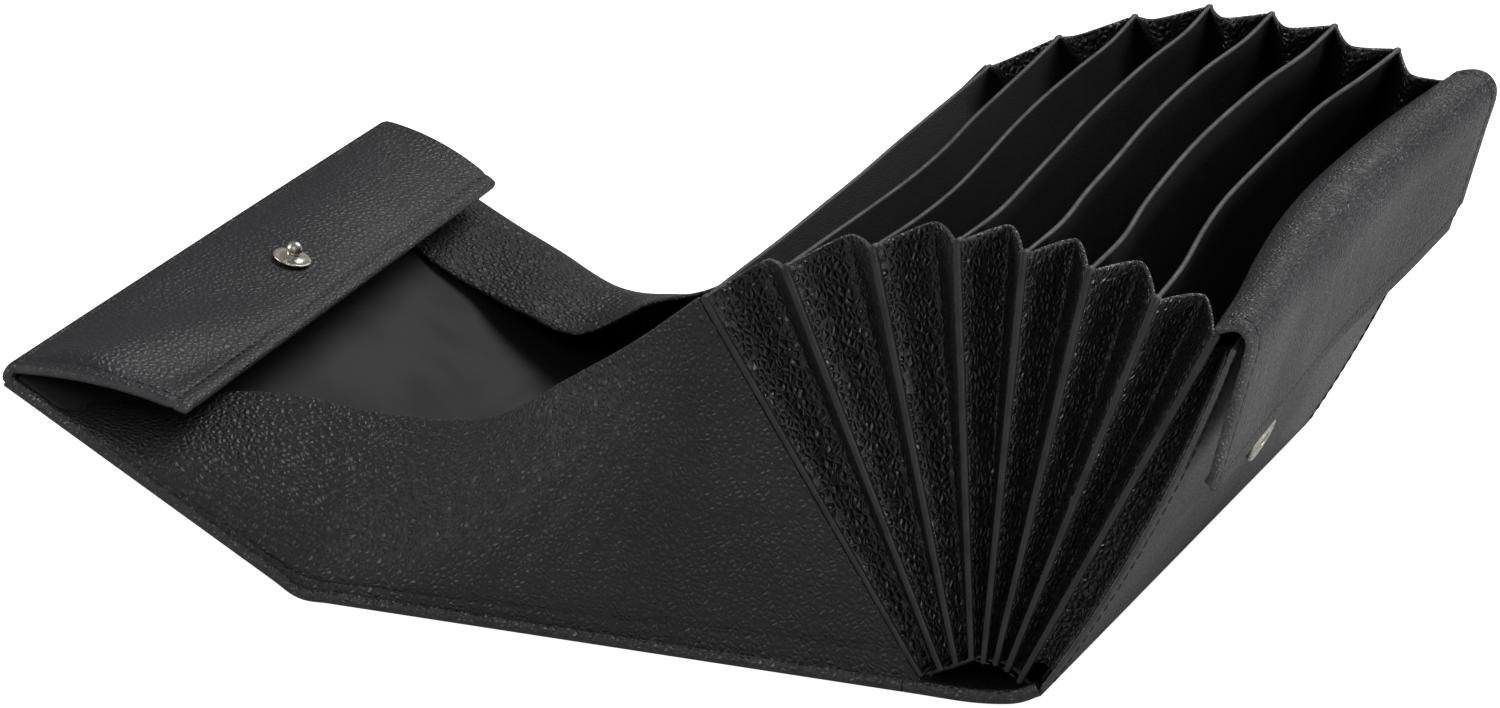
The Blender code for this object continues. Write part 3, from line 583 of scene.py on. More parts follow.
# Where the grid's lines lie near an end and near the top edge, in mm from it
END_STEPS = (0.0, 0.4, 0.9, 1.6, 2.3, 3.0, 3.5, 4.2, 5.5)
TOP_STEPS = (2.0, 1.0, 0.4, 0.0)


def lengthwise(half, spacing):
    """Places along the length, crowded at both ends."""
    inner = half - END_STEPS[-1] * MM - spacing
    middle = steps(-inner, inner, int(2 * inner / spacing) + 1)
    end = half - np.array(END_STEPS) * MM
    return np.concatenate([-end, middle, end[::-1]])


def divider_wave(index, y, rise):
    turns, phase = WAVES[index]
    fade = (1 - (2 * y / LENGTH) ** 2) * (rise / DIVIDER_HEIGHT)
    return WAVE_HEIGHT * np.sin(2 * np.pi * turns * y / LENGTH + phase) * fade


def ridge_at(rise):
    """How thick the ridge is at a height on the divider."""
    return RIDGE_FOOT + (RIDGE_HEAD - RIDGE_FOOT) * rise / DIVIDER_HEIGHT


def make_divider(index):
    wall = dividers[index]
    y = lengthwise(LENGTH / 2 - RIDGE_HEAD / 2, DIVIDER_SPACING)[None, :]
    top = DIVIDER_HEIGHT - DIVIDER_THICKNESS / 2
    leaf_rows = steps(DIVIDER_THICKNESS / 2, top - TOP_BAND, DIVIDER_ROWS)
    rise = np.concatenate([leaf_rows, top - np.array(TOP_STEPS) * MM])[:, None]
    ridge_start = LENGTH / 2 - RIDGE_WIDTH - RIDGE_RUNOUT
    at_end = soft(np.abs(y), ridge_start, LENGTH / 2 - RIDGE_WIDTH + RIDGE_RUNOUT / 2)
    groove = dip(np.abs(y) - ridge_start, RIDGE_GROOVE_WIDTH) * RIDGE_GROOVE_DEPTH
    wall_thickness = DIVIDER_THICKNESS + (ridge_at(rise) - DIVIDER_THICKNESS) * at_end - groove
    piece = shell(f"divider_leaf_{index + 1}", wall.place(y, rise, divider_wave(index, y, rise)),
                  wall_thickness, divider_leather, RIDGE_WEAR)
    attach(piece, divider_bodies[index])
    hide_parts(f"divider_{index + 1}")


for index in range(len(dividers)):
    make_divider(index)
print("dividers made:", len(dividers))

# %% [markdown]
# Stitches repeat along a path, which is what Geometry Nodes are for. The tree turns a chain of
# edges into a curve, cuts it into even steps, and puts one short, rounded stitch on each step,
# turned along the curve. The result is realized and copied out as a plain mesh. A row of its own
# pitch and length is set on the modifier, by the sockets' identifiers.

# %% Stitch tree
STITCH_PITCH = 3.0 * MM
STITCH_LENGTH = 2.2 * MM
STITCH_WIDTH = 0.5 * MM
STITCH_SIDES, STITCH_RINGS = 6, 5


def make_stitch_tree():
    tree = bpy.data.node_groups.new("stitch_row", "GeometryNodeTree")
    tree.interface.new_socket("Path", in_out="INPUT", socket_type="NodeSocketGeometry")
    for label, value in (("Pitch", STITCH_PITCH), ("Length", STITCH_LENGTH), ("Width", STITCH_WIDTH)):
        size = tree.interface.new_socket(label, in_out="INPUT", socket_type="NodeSocketFloat")
        size.default_value = value
    tree.interface.new_socket("Stitches", in_out="OUTPUT", socket_type="NodeSocketGeometry")
    given = tree.nodes.new("NodeGroupInput").outputs
    curve = put(tree, "GeometryNodeMeshToCurve", {0: given["Path"]})
    even = put(tree, "GeometryNodeResampleCurve", {"Curve": curve.outputs[0], "Length": given["Pitch"]},
               mode="LENGTH")
    bead = put(tree, "GeometryNodeMeshUVSphere",
               {"Segments": STITCH_SIDES, "Rings": STITCH_RINGS, "Radius": 0.5})
    size = put(tree, "ShaderNodeCombineXYZ", {0: given["Width"], 1: given["Width"], 2: given["Length"]})
    tangent = put(tree, "GeometryNodeInputTangent")
    turn = put(tree, "FunctionNodeAlignRotationToVector", {"Vector": tangent.outputs[0]}, axis="Z")
    row = put(tree, "GeometryNodeInstanceOnPoints",
              {"Points": even.outputs[0], "Instance": bead.outputs[0], "Rotation": turn.outputs[0],
               "Scale": size.outputs[0]})
    real = put(tree, "GeometryNodeRealizeInstances", {0: row.outputs[0]})
    smooth = put(tree, "GeometryNodeSetShadeSmooth", {0: real.outputs[0]})
    painted = put(tree, "GeometryNodeSetMaterial", {0: smooth.outputs[0], "Material": thread})
    result = tree.nodes.new("NodeGroupOutput")
    tree.links.new(painted.outputs[0], result.inputs[0])
    return tree


stitch_tree = make_stitch_tree()


def sew(name, paths, pitch=STITCH_PITCH):
    """One mesh of stitches along several paths, each a list of points."""
    points, edges = [], []
    for path in paths:
        first = len(points)
        points += [tuple(point) for point in path]
        edges += [(k, k + 1) for k in range(first, len(points) - 1)]
    guide = link_object(f"{name}_guide", bpy.data.meshes.new(f"{name}_guide"))
    guide.data.from_pydata(points, edges, [])
    modifier = guide.modifiers.new("stitches", "NODES")
    modifier.node_group = stitch_tree
    keys = {item.name: item.identifier for item in stitch_tree.interface.items_tree}
    modifier[keys["Pitch"]] = pitch
    modifier[keys["Length"]] = pitch * STITCH_LENGTH / STITCH_PITCH
    bpy.context.view_layer.update()
    mesh = bpy.data.meshes.new_from_object(guide.evaluated_get(bpy.context.evaluated_depsgraph_get()))
    mesh.name = name
    bpy.data.objects.remove(guide, do_unlink=True)
    piece = link_object(name, mesh)
    return piece


# %% [markdown]
# The bellows are the folded strips that close the fan at both ends. Each is sewn to two ridges and
# pushed inwards between them, deeper at the top, where the fan is wider. One formula gives the fold:
# its depth falls from the crease to both ridges. The strip lies between two moving leaves and is
# left fixed in place.

# %% Bellows
PLEAT_FOOT = 2 * MM
PLEAT_THIN, PLEAT_THICK = 0.5 * MM, 0.9 * MM
PLEAT_DEPTH_FOOT, PLEAT_DEPTH_HEAD = 2.5 * MM, 12 * MM
RIDGE_TUCK = 0.35
PLEAT_SETBACK = 1.5 * MM
PLEAT_LIFT = 1.4 * MM
PLEAT_POWER = 1.3
CREASE_SHARE = 0.12
PLEAT_ROWS, PLEAT_COLUMNS = 34, 25
PLEAT_TOP_STEPS = (2 * MM, 0.6 * MM)
PLEAT_STITCH_DROP = 2.2 * MM
PLEAT_STITCH_SHARE = 0.16
PLEAT_STITCH_START, PLEAT_STITCH_ENDS = 14 * MM, (0.08, 0.92)
PLEAT_STITCH_PITCH, PLEAT_STITCH_LIFT = 2.4 * MM, 0.02 * MM
PLEAT_STITCH_POINTS = 24
BLEND_SHARE = 0.6


def floats(values):
    """Plain numbers, as the frame's calls take them."""
    return [float(value) for value in values]


def up_the_pleat(rise):
    """0 at the foot of the bellows and 1 at the dividers' top."""
    return (rise - PLEAT_FOOT) / (DIVIDER_HEIGHT - PLEAT_FOOT)


def pleat_point(left, right, sign, rise, share):
    """A point of the bellows between two dividers, share of the way across from left to right."""
    start, stop = left.place(sign * LENGTH / 2, rise), right.place(sign * LENGTH / 2, rise)
    width = np.linalg.norm(stop - start, axis=-1, keepdims=True)
    depth = PLEAT_DEPTH_FOOT + (PLEAT_DEPTH_HEAD - PLEAT_DEPTH_FOOT) * up_the_pleat(rise)
    clear = np.minimum(ridge_at(rise[..., None]) * RIDGE_TUCK, width / 3)
    across = (stop - start) / width
    place = start + across * (clear + (width - 2 * clear) * share[..., None])
    from_crease = np.sqrt((2 * share - 1) ** 2 + CREASE_SHARE**2)
    fold = 1 - np.minimum(from_crease, 1) ** PLEAT_POWER
    place[..., 1] -= sign * (PLEAT_SETBACK + depth * fold)
    place[..., 2] += PLEAT_LIFT * up_the_pleat(rise) * fold
    return place


def pleat_stitches(left, right, sign, name):
    """A row under the strip's top edge and one beside its left ridge, on the outer face."""
    top = DIVIDER_HEIGHT - PLEAT_STITCH_DROP
    share = steps(*PLEAT_STITCH_ENDS, PLEAT_STITCH_POINTS)
    row = pleat_point(left, right, sign, np.full_like(share, top), share)
    rise = steps(PLEAT_FOOT + PLEAT_STITCH_START, top, PLEAT_STITCH_POINTS)
    side = pleat_point(left, right, sign, rise, np.full_like(rise, PLEAT_STITCH_SHARE))
    outside = np.array([0, sign * (PLEAT_THICK / 2 + PLEAT_STITCH_LIFT), 0])
    return sew(name, [row + outside, side + outside], PLEAT_STITCH_PITCH)


def make_bellows(index, side, sign):
    left, right = dividers[index], dividers[index + 1]
    rise = steps(PLEAT_FOOT, DIVIDER_HEIGHT - PLEAT_TOP_STEPS[0], PLEAT_ROWS)
    rise = np.concatenate([rise, [DIVIDER_HEIGHT - PLEAT_TOP_STEPS[1]]])
    rise, share = np.meshgrid(rise, steps(0, 1, PLEAT_COLUMNS), indexing="ij")
    thickness = PLEAT_THIN + (PLEAT_THICK - PLEAT_THIN) * up_the_pleat(rise)
    name = f"{side}_bellows_{index + 1}"
    strip = shell(name, pleat_point(left, right, sign, rise, share), thickness, bellows_leather)
    stitches = pleat_stitches(left, right, sign, f"{name}_stitches")
    height = DIVIDER_HEIGHT * BLEND_SHARE
    start, end = [floats(wall.place(sign * LENGTH / 2, height)) for wall in (left, right)]
    for piece in (strip, stitches):
        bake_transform(piece)
    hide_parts(f"{side}_pleat_{index + 1}")


for side, sign in SIDES:
    for index in range(len(dividers) - 1):
        make_bellows(index, side, sign)
print("bellows made:", 2 * (len(dividers) - 1))

# %% [markdown]
# The fan grows out of a rolled fold that lies on the spine of the cover. It stops short of the ends,
# where the photograph shows a dark hollow under the feet. A row of rough stitches closes the hollow
# from above, along the line of the feet.

# %% Fan base
BASE_THICKNESS = 1.0 * MM
BASE_RECESS = 6.5 * MM
FOOT_GAP = 0.65 * MM
SPINE_THICKNESS = 1.5 * MM
POCKET_DEPTH = 5.7 * MM
POCKET_STEP = 1.7 * MM
BASE_SLOPE, BASE_SPACING, BASE_ROWS = 0.6, 6 * MM, 60
FOOT_STITCH_INSET, FOOT_STITCH_RISE, FOOT_STITCH_PITCH = 1.2 * MM, 0.2 * MM, 2.0 * MM
COVER_OVERHANG = 1 * MM
COVER_HALF = LENGTH / 2 + COVER_OVERHANG
panel_foot = (feet[-1][0] + POCKET_DEPTH, feet[-1][1] - POCKET_STEP)


def make_fan_base():
    y = lengthwise(LENGTH / 2 - BASE_RECESS, BASE_SPACING)
    lines = [wall.place(y, -(FOOT_GAP + BASE_THICKNESS / 2)) for wall in dividers]
    seat = SPINE_THICKNESS + SEAM_GAP + BASE_THICKNESS / 2
    first = lines[0].copy()
    first[:, 0] -= BASE_SLOPE * (first[:, 2] - seat)
    first[:, 2] = seat
    last = lines[-1] + np.array([BASE_THICKNESS, 0, -BASE_THICKNESS])
    grid = through(np.array([first, *lines, last]), steps(0, len(lines) + 1, BASE_ROWS))
    piece = shell("fan_fold", grid, BASE_THICKNESS, divider_leather)
    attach(piece, "base")
    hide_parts("fan_base")


def sew_feet():
    ends = [sign * (LENGTH / 2 - FOOT_STITCH_INSET) for name, sign in SIDES]
    paths = [[wall.place(end, FOOT_STITCH_RISE) for wall in dividers] for end in ends]
    stitches = sew("foot_stitches", paths, FOOT_STITCH_PITCH)
    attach(stitches, "base")


make_fan_base()
sew_feet()
print("outer panel stands at", [round(value / MM, 1) for value in panel_foot], "mm")

# %% [markdown]
# The cover is one long piece of leather, turned over at its long sides into a raised rim. It lies
# flat under the tray, then rises and is folded over at its end. Its section is the same all along:
# a thin web with a rounded rim at both sides. That section is swept along the cover's path. It is
# cut where the cover folds; the short lengths at the folds are left fixed, the others ride their bodies.

# %% Cover leather
COVER_LEATHER, COVER_LINING = 1.5 * MM, 1.2 * MM
COVER_THICKNESS = COVER_LEATHER + SEAM_GAP + COVER_LINING
HINGE_SETBACK = 2.3 * MM
FRONT_LENGTH, TOP_LENGTH = 98.5 * MM, 46 * MM
FRONT_START = 1.5 * MM
BACK_NEAR_LENGTH, BACK_FAR_LENGTH = 82 * MM, 76 * MM
BACK_RISES = (29.3, 35.5)
CREASE_REACH = 6 * MM
LEATHER_SHORT, LINING_SHORT = 0.1 * MM, 1.5 * MM
RIM_SECTION = ((0.0, 1.6, 1.6), (0.1, 1.1, 2.05), (0.25, 0.7, 2.35), (0.5, 0.32, 2.65), (0.8, 0.08, 2.86),
               (1.2, -0.1, 2.97), (1.6, -0.12, 3.0), (2.0, 0.02, 3.0), (2.35, 0.35, 3.0), (2.6, 0.8, 3.0),
               (2.75, 1.2, 3.0), (2.9, 1.5, 3.0), (6.0, 1.5, 3.0))
MARKED_EDGE, EVEN_PART_INSET, EVEN_COLUMNS = 1.0 * MM, 10 * MM, 30
front_hinge_x = feet[0][0] - HINGE_SETBACK
FIRST_FOLD, SECOND_FOLD = FRONT_LENGTH, FRONT_LENGTH + TOP_LENGTH


def cover_end_at(y):
    """How far the cover's end lies from its first hinge, along the cover."""
    return SECOND_FOLD + between(BACK_NEAR_LENGTH, BACK_FAR_LENGTH, y)


def cover_rise(y):
    """The angle at which the cover's last length rises."""
    return np.radians(between(*BACK_RISES, y))


def cover_place(distance, y, depth):
    """A point of the cover: distance along it, place across it, and depth below its inner face."""
    distance, y, depth = np.broadcast_arrays(distance, y, depth)
    flat = np.stack([front_hinge_x - distance, y, COVER_THICKNESS - depth], -1)
    rise, past = cover_rise(y), distance - SECOND_FOLD
    tilted = np.stack([front_hinge_x - SECOND_FOLD - past * np.cos(rise) - depth * np.sin(rise), y,
                       COVER_THICKNESS + past * np.sin(rise) - depth * np.cos(rise)], -1)
    share = soft(distance, SECOND_FOLD - CREASE_REACH, SECOND_FOLD + CREASE_REACH)[..., None]
    return flat * (1 - share) + tilted * share


def cover_columns(section, half):
    """Places across the cover with the depths of its upper and lower face."""
    inset, upper, lower = np.array(section).T * MM
    middle = steps(EVEN_PART_INSET - half, half - EVEN_PART_INSET, EVEN_COLUMNS)
    y = np.concatenate([inset - half, middle, (half - inset)[::-1]])
    edge = half - np.abs(y)
    return y, np.interp(edge, inset, upper), np.interp(edge, inset, lower)


def edge_marks(y, half, count):
    """The rim's mark on count rows of a sheet: 1 near both long sides."""
    return np.tile((half - np.abs(y) < MARKED_EDGE).astype(float), count)


# Name, body, next body at a fold, start and end along the cover, and rows of points
COVER_STRETCHES = (("front", "front_cover", None, FRONT_START, FIRST_FOLD - CREASE_REACH, 46),
                   ("front_crease", "front_cover", "top_cover", FIRST_FOLD - CREASE_REACH,
                    FIRST_FOLD + CREASE_REACH, 13),
                   ("top", "top_cover", None, FIRST_FOLD + CREASE_REACH, SECOND_FOLD - CREASE_REACH, 18),
                   ("back_crease", "top_cover", "back_cover", SECOND_FOLD - CREASE_REACH,
                    SECOND_FOLD + CREASE_REACH, 13),
                   ("back", "back_cover", None, SECOND_FOLD + CREASE_REACH, None, 36))


def make_cover_layer(layer, section, half, start, short, material, node):
    """The cover's leather or its lining, in five lengths. It starts and ends short of the cover."""
    y, upper, lower = cover_columns(section, half)
    for name, body, next_body, low, high, count in COVER_STRETCHES:
        first = max(low, start)
        last = cover_end_at(y) - short if high is None else np.full_like(y, high)
        distance = first + (last - first) * steps(0, 1, count)[:, None]
        piece = closed(f"{name}_{layer}", cover_place(distance, y, upper), cover_place(distance, y, lower),
                       material, edge_marks(y, half, count))
        if next_body:
            ends = [floats(cover_place(place, 0.0, COVER_THICKNESS / 2)) for place in (low, high)]
            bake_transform(piece)
        else:
            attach(piece, body)
            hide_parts(f"{name}_{node}")


make_cover_layer("leather", RIM_SECTION, COVER_HALF, FRONT_START, LEATHER_SHORT, pebbled, "cover")

# %% [markdown]
# Under the fan the cover goes on as the spine. It has the same rimmed section, and its path curves
# up towards the outer panel. Each point is raised from the path along the path's normal. A thin
# tongue runs from the spine into the cover, so that no slit opens there when the fan is closed.

# %% Spine
SPINE_MARGIN = 3.5 * MM
SPINE_FLAT_END = 5 * MM
SPINE_KNEE_SHARES = (0.45, 0.32)
SPINE_TO_PANEL = 0.3 * MM
SPINE_ROWS = 40
TONGUE_REACH = (2.9 * MM, 4.9 * MM)
TONGUE_INSET, TONGUE_PLAY = 1.2 * MM, 0.02 * MM
TONGUE_ROWS, TONGUE_COLUMNS = 5, 40


def make_spine():
    end_x, end_z = panel_foot[0] - SPINE_TO_PANEL, panel_foot[1] - SPINE_TO_PANEL
    across, up_share = SPINE_KNEE_SHARES
    knots = [(feet[0][0] - SPINE_MARGIN, 0.0), (feet[0][0], 0.0), (0.0, 0.0),
             (SPINE_FLAT_END + (end_x - SPINE_FLAT_END) * across, end_z * up_share), (end_x, end_z)]
    line = through(np.array(knots), steps(0, len(knots) - 1, SPINE_ROWS))
    slope = unit(np.gradient(line, axis=0))
    y, upper, lower = cover_columns(RIM_SECTION, COVER_HALF)
    grids = []
    for depth in (upper, lower):
        height = COVER_THICKNESS - depth
        x = line[:, :1] - slope[:, 1:] * height
        z = line[:, 1:] + slope[:, :1] * height
        grids.append(np.stack([x, np.broadcast_to(y, x.shape), z], -1))
    piece = closed("spine_wrap", *grids, pebbled, edge_marks(y, COVER_HALF, len(line)))
    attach(piece, "base")
    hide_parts("spine")


def make_spine_tongue():
    """A thin tongue from the spine into the seam between the front cover's leather and lining."""
    x = feet[0][0] - steps(*TONGUE_REACH, TONGUE_ROWS)
    y = steps(-1, 1, TONGUE_COLUMNS) * (COVER_HALF - TONGUE_INSET)
    x, y = np.meshgrid(x, y, indexing="ij")
    levels = (COVER_LEATHER + SEAM_GAP - TONGUE_PLAY, COVER_LEATHER + TONGUE_PLAY)
    upper, lower = [np.stack([x, y, np.full_like(x, level)], -1) for level in levels]
    piece = closed("spine_tongue", upper, lower, pebbled, np.zeros(x.size))
    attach(piece, "base")


make_spine()
make_spine_tongue()
print("spine length:", round(2 * COVER_HALF / MM), "mm")

# %% [markdown]
# The lining is laid into the cover, inside its rim. The same sweep makes it, from a thinner section.

# %% Cover lining
LINING_START = 2.5 * MM
LINING_INSET = 3.1 * MM
LINING_HALF = COVER_HALF - LINING_INSET
LINING_SECTION = ((0.0, 0.75, 0.75), (0.15, 0.4, 1.0), (0.5, 0.15, 1.2), (1.2, 0.02, 1.2), (3.0, 0.0, 1.2))
make_cover_layer("lining_cloth", LINING_SECTION, LINING_HALF, LINING_START, LINING_SHORT, lining_cloth,
                 "lining")
print("cover length:", round(float(cover_end_at(0.0)) / MM), "mm")

# %% [markdown]
# The gussets close the tray at both sides. In the photograph each is one broad pebbled panel that
# sags inwards to a free top edge. It is described by rays: each starts on the cover and ends on the
# free edge, and leans inwards more and more on its way. The near panel stands. The far one rises to a
# crest and then lies down over the tray. A smooth surface through the rays makes the panel, which is
# cut at the cover's folds into three pieces, one for each body.

# %% Gussets
GUSSET_THICKNESS = 1.0 * MM
GUSSET_SAG = 35 * MM
GUSSET_INSET = 1.5 * MM
GUSSET_SAG_POWER = 2.2
GUSSET_SINK = 1.1 * MM
GUSSET_CREST = 9 * MM
GUSSET_GAP = 0.2 * MM
# A ray of the gusset: foot along the cover, edge along the cover, height, sag, crest
FRONT_RAY_SHARES = {
    "near": ((0.3, 0.665, 0.737, 0.17, 0), (0.6, 0.817, 0.621, 0.34, 0), (0.85, 0.909, 0.553, 0.44, 0),
             (0.994, 0.962, 0.505, 0.51, 0)),
    "far": ((0.3, 0.665, 0.700, 0.22, 0), (0.6, 0.817, 0.560, 0.34, 0), (0.85, 0.909, 0.460, 0.43, 0),
            (0.994, 0.962, 0.414, 0.49, 0)),
}
TOP_RAY_SHARES = {
    "near": ((0.012, -0.03, 0.495, 0.53, 0), (0.33, 0.26, 0.405, 0.71, 0), (0.67, 0.61, 0.358, 0.89, 0),
             (0.988, 0.94, 0.342, 0.97, 0)),
    "far": ((0.012, -0.03, 0.397, 0.51, 0), (0.33, 0.26, 0.275, 0.62, 0.1), (0.67, 0.61, 0.221, 0.72, 0.4),
            (0.988, 0.90, 0.150, 0.94, 0.9)),
}
BACK_RAY_SHARES = {
    "near": ((0.02, 0.0, 0.760, 0.97, 0), (0.25, 0.195, 0.782, 1.0, 0), (0.45, 0.378, 0.789, 0.90, 0),
             (0.68, 0.585, 0.770, 0.52, 0), (0.9, 0.80, 0.860, 0.06, 0)),
    "far": ((0.02, -0.02, 0.299, 0.96, 1.0), (0.25, 0.155, 0.393, 1.0, 0.85),
            (0.45, 0.305, 0.467, 0.96, 0.65), (0.68, 0.46, 0.598, 1.0, 0.35),
            (0.88, 0.62, 0.720, 0.9, 0.05)),
}
GUSSET_ROWS = np.concatenate([[0.0, 0.012, 0.03, 0.05, 0.065, 0.08, 0.095], steps(0.115, 0.985, 30), [1.0]])
GUSSET_CUTS = (0, 4, 7, 11)
FOLD_RAYS = (8, 4)
GUSSET_COLUMNS = 20
# Soft folds spread from the top of the divider: angle below level, width in degrees, height in mm
SOFT_FOLDS = ((67, 16, 5.0), (36, 10, -2.6), (51, 4, 0.7), (86, 6, -1.2), (20, 7, 1.6))
FOLD_SHARES = {"near": 1.0, "far": 0.25}
RIPPLE_TURN, RIPPLE_HEIGHT, RIPPLE_AT, RIPPLE_SPREAD = 6.5, 0.4, 62, 24
FOLD_RUN = (3 * MM, 45 * MM)
FOLD_TOP_SHARE, FOLD_GAIN = 1.25, 1.6
SEAM_SHARE, SEAM_WIDTH, SEAM_DEPTH = 0.08, 0.014, 0.4 * MM
EDGE_ROUND_SHARE = 0.72


def ray_points(foot, edge, sign, sag, crest):
    """The points of one ray, from its foot on the cover to the free edge."""
    share = GUSSET_ROWS[:, None]
    line = np.array(foot) + (np.array(edge) - np.array(foot)) * share
    line[:, 1] = sign * (COVER_HALF - GUSSET_INSET - sag * GUSSET_ROWS**GUSSET_SAG_POWER)
    line[:, 2] += crest * 4 * GUSSET_ROWS * (1 - GUSSET_ROWS)
    return line


def gusset_lengths(side, sign):
    """(hinge x, rise, length, height, rays) of the gusset over each length of the cover."""
    far = side == "far"
    back = BACK_FAR_LENGTH if far else BACK_NEAR_LENGTH
    end = sign * LENGTH / 2
    fold_height = float(cover_place(cover_end_at(end), end, 0.0)[2])
    return ((front_hinge_x, 0.0, FRONT_LENGTH, DIVIDER_HEIGHT, FRONT_RAY_SHARES[side]),
            (front_hinge_x - FIRST_FOLD, 0.0, TOP_LENGTH, DIVIDER_HEIGHT, TOP_RAY_SHARES[side]),
            (front_hinge_x - SECOND_FOLD, math.radians(BACK_RISES[far]), back, fold_height,
             BACK_RAY_SHARES[side]))


def gusset_rays(side, sign):
    """All rays in order. The first lies along the end of the first divider."""
    rise = (DIVIDER_HEIGHT + GUSSET_SINK) * GUSSET_ROWS - GUSSET_SINK
    first = dividers[0].place(sign * LENGTH / 2, rise, GUSSET_GAP - ridge_at(rise) / 2)
    first[:, 1] = sign * (COVER_HALF - GUSSET_INSET)
    rays = [first]
    lift = SEAM_GAP + GUSSET_THICKNESS / 2 - GUSSET_SINK
    for hinge_x, rise_angle, length, height, table in gusset_lengths(side, sign):
        for foot_share, edge_share, height_share, sag_share, crest_share in table:
            reach = length * foot_share
            foot = (hinge_x - reach * math.cos(rise_angle) + lift * math.sin(rise_angle), 0,
                    COVER_THICKNESS + reach * math.sin(rise_angle) + lift * math.cos(rise_angle))
            edge = (hinge_x - length * edge_share, 0, height * height_share)
            rays.append(ray_points(foot, edge, sign, GUSSET_SAG * sag_share, GUSSET_CREST * crest_share))
    for place in FOLD_RAYS:
        rays[place:place + 2] = [(rays[place] + rays[place + 1]) / 2]
    return np.array(rays)


def gusset_folds(grid, side, sign):
    """How far each point of the panel is pushed outwards: soft folds, fine ripples and the seam."""
    share = GUSSET_ROWS[None, :]
    corner = dividers[0].place(sign * LENGTH / 2, DIVIDER_HEIGHT)
    left, down = corner[0] - grid[..., 0], corner[2] - grid[..., 2]
    angle, run = np.degrees(np.arctan2(down, left)), np.hypot(left, down)
    push = RIPPLE_HEIGHT * np.sin(2 * np.pi * angle / RIPPLE_TURN) * dip(angle - RIPPLE_AT, RIPPLE_SPREAD)
    for centre, width, height in SOFT_FOLDS:
        push = push + height * dip(angle - centre, width)
    push = push * MM * FOLD_SHARES[side] * soft(run, *FOLD_RUN)
    push = push * share * (FOLD_TOP_SHARE - share) * FOLD_GAIN
    seam = dip(share - SEAM_SHARE, SEAM_WIDTH) * SEAM_DEPTH
    return (push - seam) * sign


def gusset_surface(side, sign, low, high):
    places = steps(low, high, int((high - low) * GUSSET_COLUMNS) + 2)
    grid = through(gusset_rays(side, sign), places)
    grid[..., 1] += gusset_folds(grid, side, sign)
    return grid


def make_gusset_wall(name, grid):
    """The panel's wall, with a round free edge and plain cuts where it meets its neighbours."""
    normal = surface_normals(grid)
    half = GUSSET_THICKNESS / 2
    edge = grid[:, -1:]
    beyond = unit(edge - grid[:, -2:-1]) * half
    faces = []
    for way in (1, -1):
        bend = edge + (beyond + way * normal[:, -1:] * half) * EDGE_ROUND_SHARE
        faces.append(np.concatenate([grid + way * normal * half, bend, edge + beyond], 1))
    rim = np.zeros(faces[0].shape[:2])
    rim[:, -2:] = 1
    return closed(name, *faces, pebbled, rim.ravel())


GUSSET_RIDES = (("front", "divider_1"), ("top", "top_cover"), ("back", "back_cover"))


def carry_gusset(piece, number, body):
    """Attach the panel to its body and give it its own mesh."""
    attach(piece, body)
    if number == 1:
        foot = dividers[0].place(0.0, 0.0)
        way = unit(foot - dividers[0].place(0.0, 0.0, MM))
        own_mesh(piece)
        return
    anchor = cover_place(SECOND_FOLD if number == 3 else FIRST_FOLD, 0.0, 0.0)
    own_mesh(piece)


for side, sign in SIDES:
    for number, (label, body) in enumerate(GUSSET_RIDES, 1):
        low, high = GUSSET_CUTS[number - 1], GUSSET_CUTS[number]
        panel = make_gusset_wall(f"{side}_{label}_gusset", gusset_surface(side, sign, low, high))
        carry_gusset(panel, number, body)
        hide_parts(f"{side}_gusset_{number}")
print("gussets made:", len(SIDES) * len(GUSSET_RIDES))

# %% [markdown]
# The cover's end is folded back over the tray as a lip. It is doubled, and sewn along its free edge
# and its near side. The leaf swells a little in the middle and is drawn in along the stitches. Those
# lines are modelled: the wall gets thinner there, and the rows of the grid are crowded round each.

# %% Cover lip
LIP_THICKNESS = 2.4 * MM
LIP_INSET = 6.7 * MM
LIP_NEAR_LENGTH, LIP_FAR_LENGTH = 41 * MM, 32 * MM
LIP_FALLS = (8.8, 18.3)
LIP_CROWN = 2 * MM
LIP_FOLD_INSET = 1.2 * MM
LIP_STITCH_INSET = 2.6 * MM
LIP_SLANT = 0.35
# A soft ridge and a hollow across the lip: place, width and height
LIP_RIDGE, LIP_HOLLOW = (8 * MM, 9 * MM, 1.2 * MM), (24 * MM, 8 * MM, 1.1 * MM)
LIP_NEAR_PART = (-10 * MM, 60 * MM)
LIP_RIPPLE, LIP_RIPPLE_TURN, LIP_RIPPLE_WIDTH = 0.9 * MM, 9, 11 * MM
LIP_SWELL_INSET = 8 * MM
LIP_COLUMNS, LIP_ROWS = 62, 26
EDGE_SEAM_POINTS, SIDE_SEAM_POINTS = 60, 20
STITCH_INSET = 3.4 * MM
GROOVE_WIDTH = 0.7 * MM
GROOVE_DEPTH = 0.55 * MM
LINE_STEPS = (0.0, 0.4, 0.9, 1.5, 2.1, 2.6, 3.0, 3.4, 3.8, 4.2, 5.0, 6.5)


def lip_place(y, distance, outward=0.0):
    """A point of the lip's middle surface: distance from the fold towards its free edge."""
    y, distance, outward = np.broadcast_arrays(y, distance, outward)
    corner = cover_place(cover_end_at(y), y, 0.0)
    seat = SEAM_GAP + LIP_THICKNESS / 2
    rise, fall = cover_rise(y), np.radians(between(*LIP_FALLS, y))
    share = distance / between(LIP_NEAR_LENGTH, LIP_FAR_LENGTH, y)
    lift = LIP_CROWN * 4 * share * (1 - share) + outward
    x = corner[..., 0] + np.sin(rise) * seat + np.cos(fall) * distance + np.sin(fall) * lift
    z = corner[..., 2] + np.cos(rise) * seat - np.sin(fall) * distance + np.cos(fall) * lift
    return np.stack([x, y, z], -1)


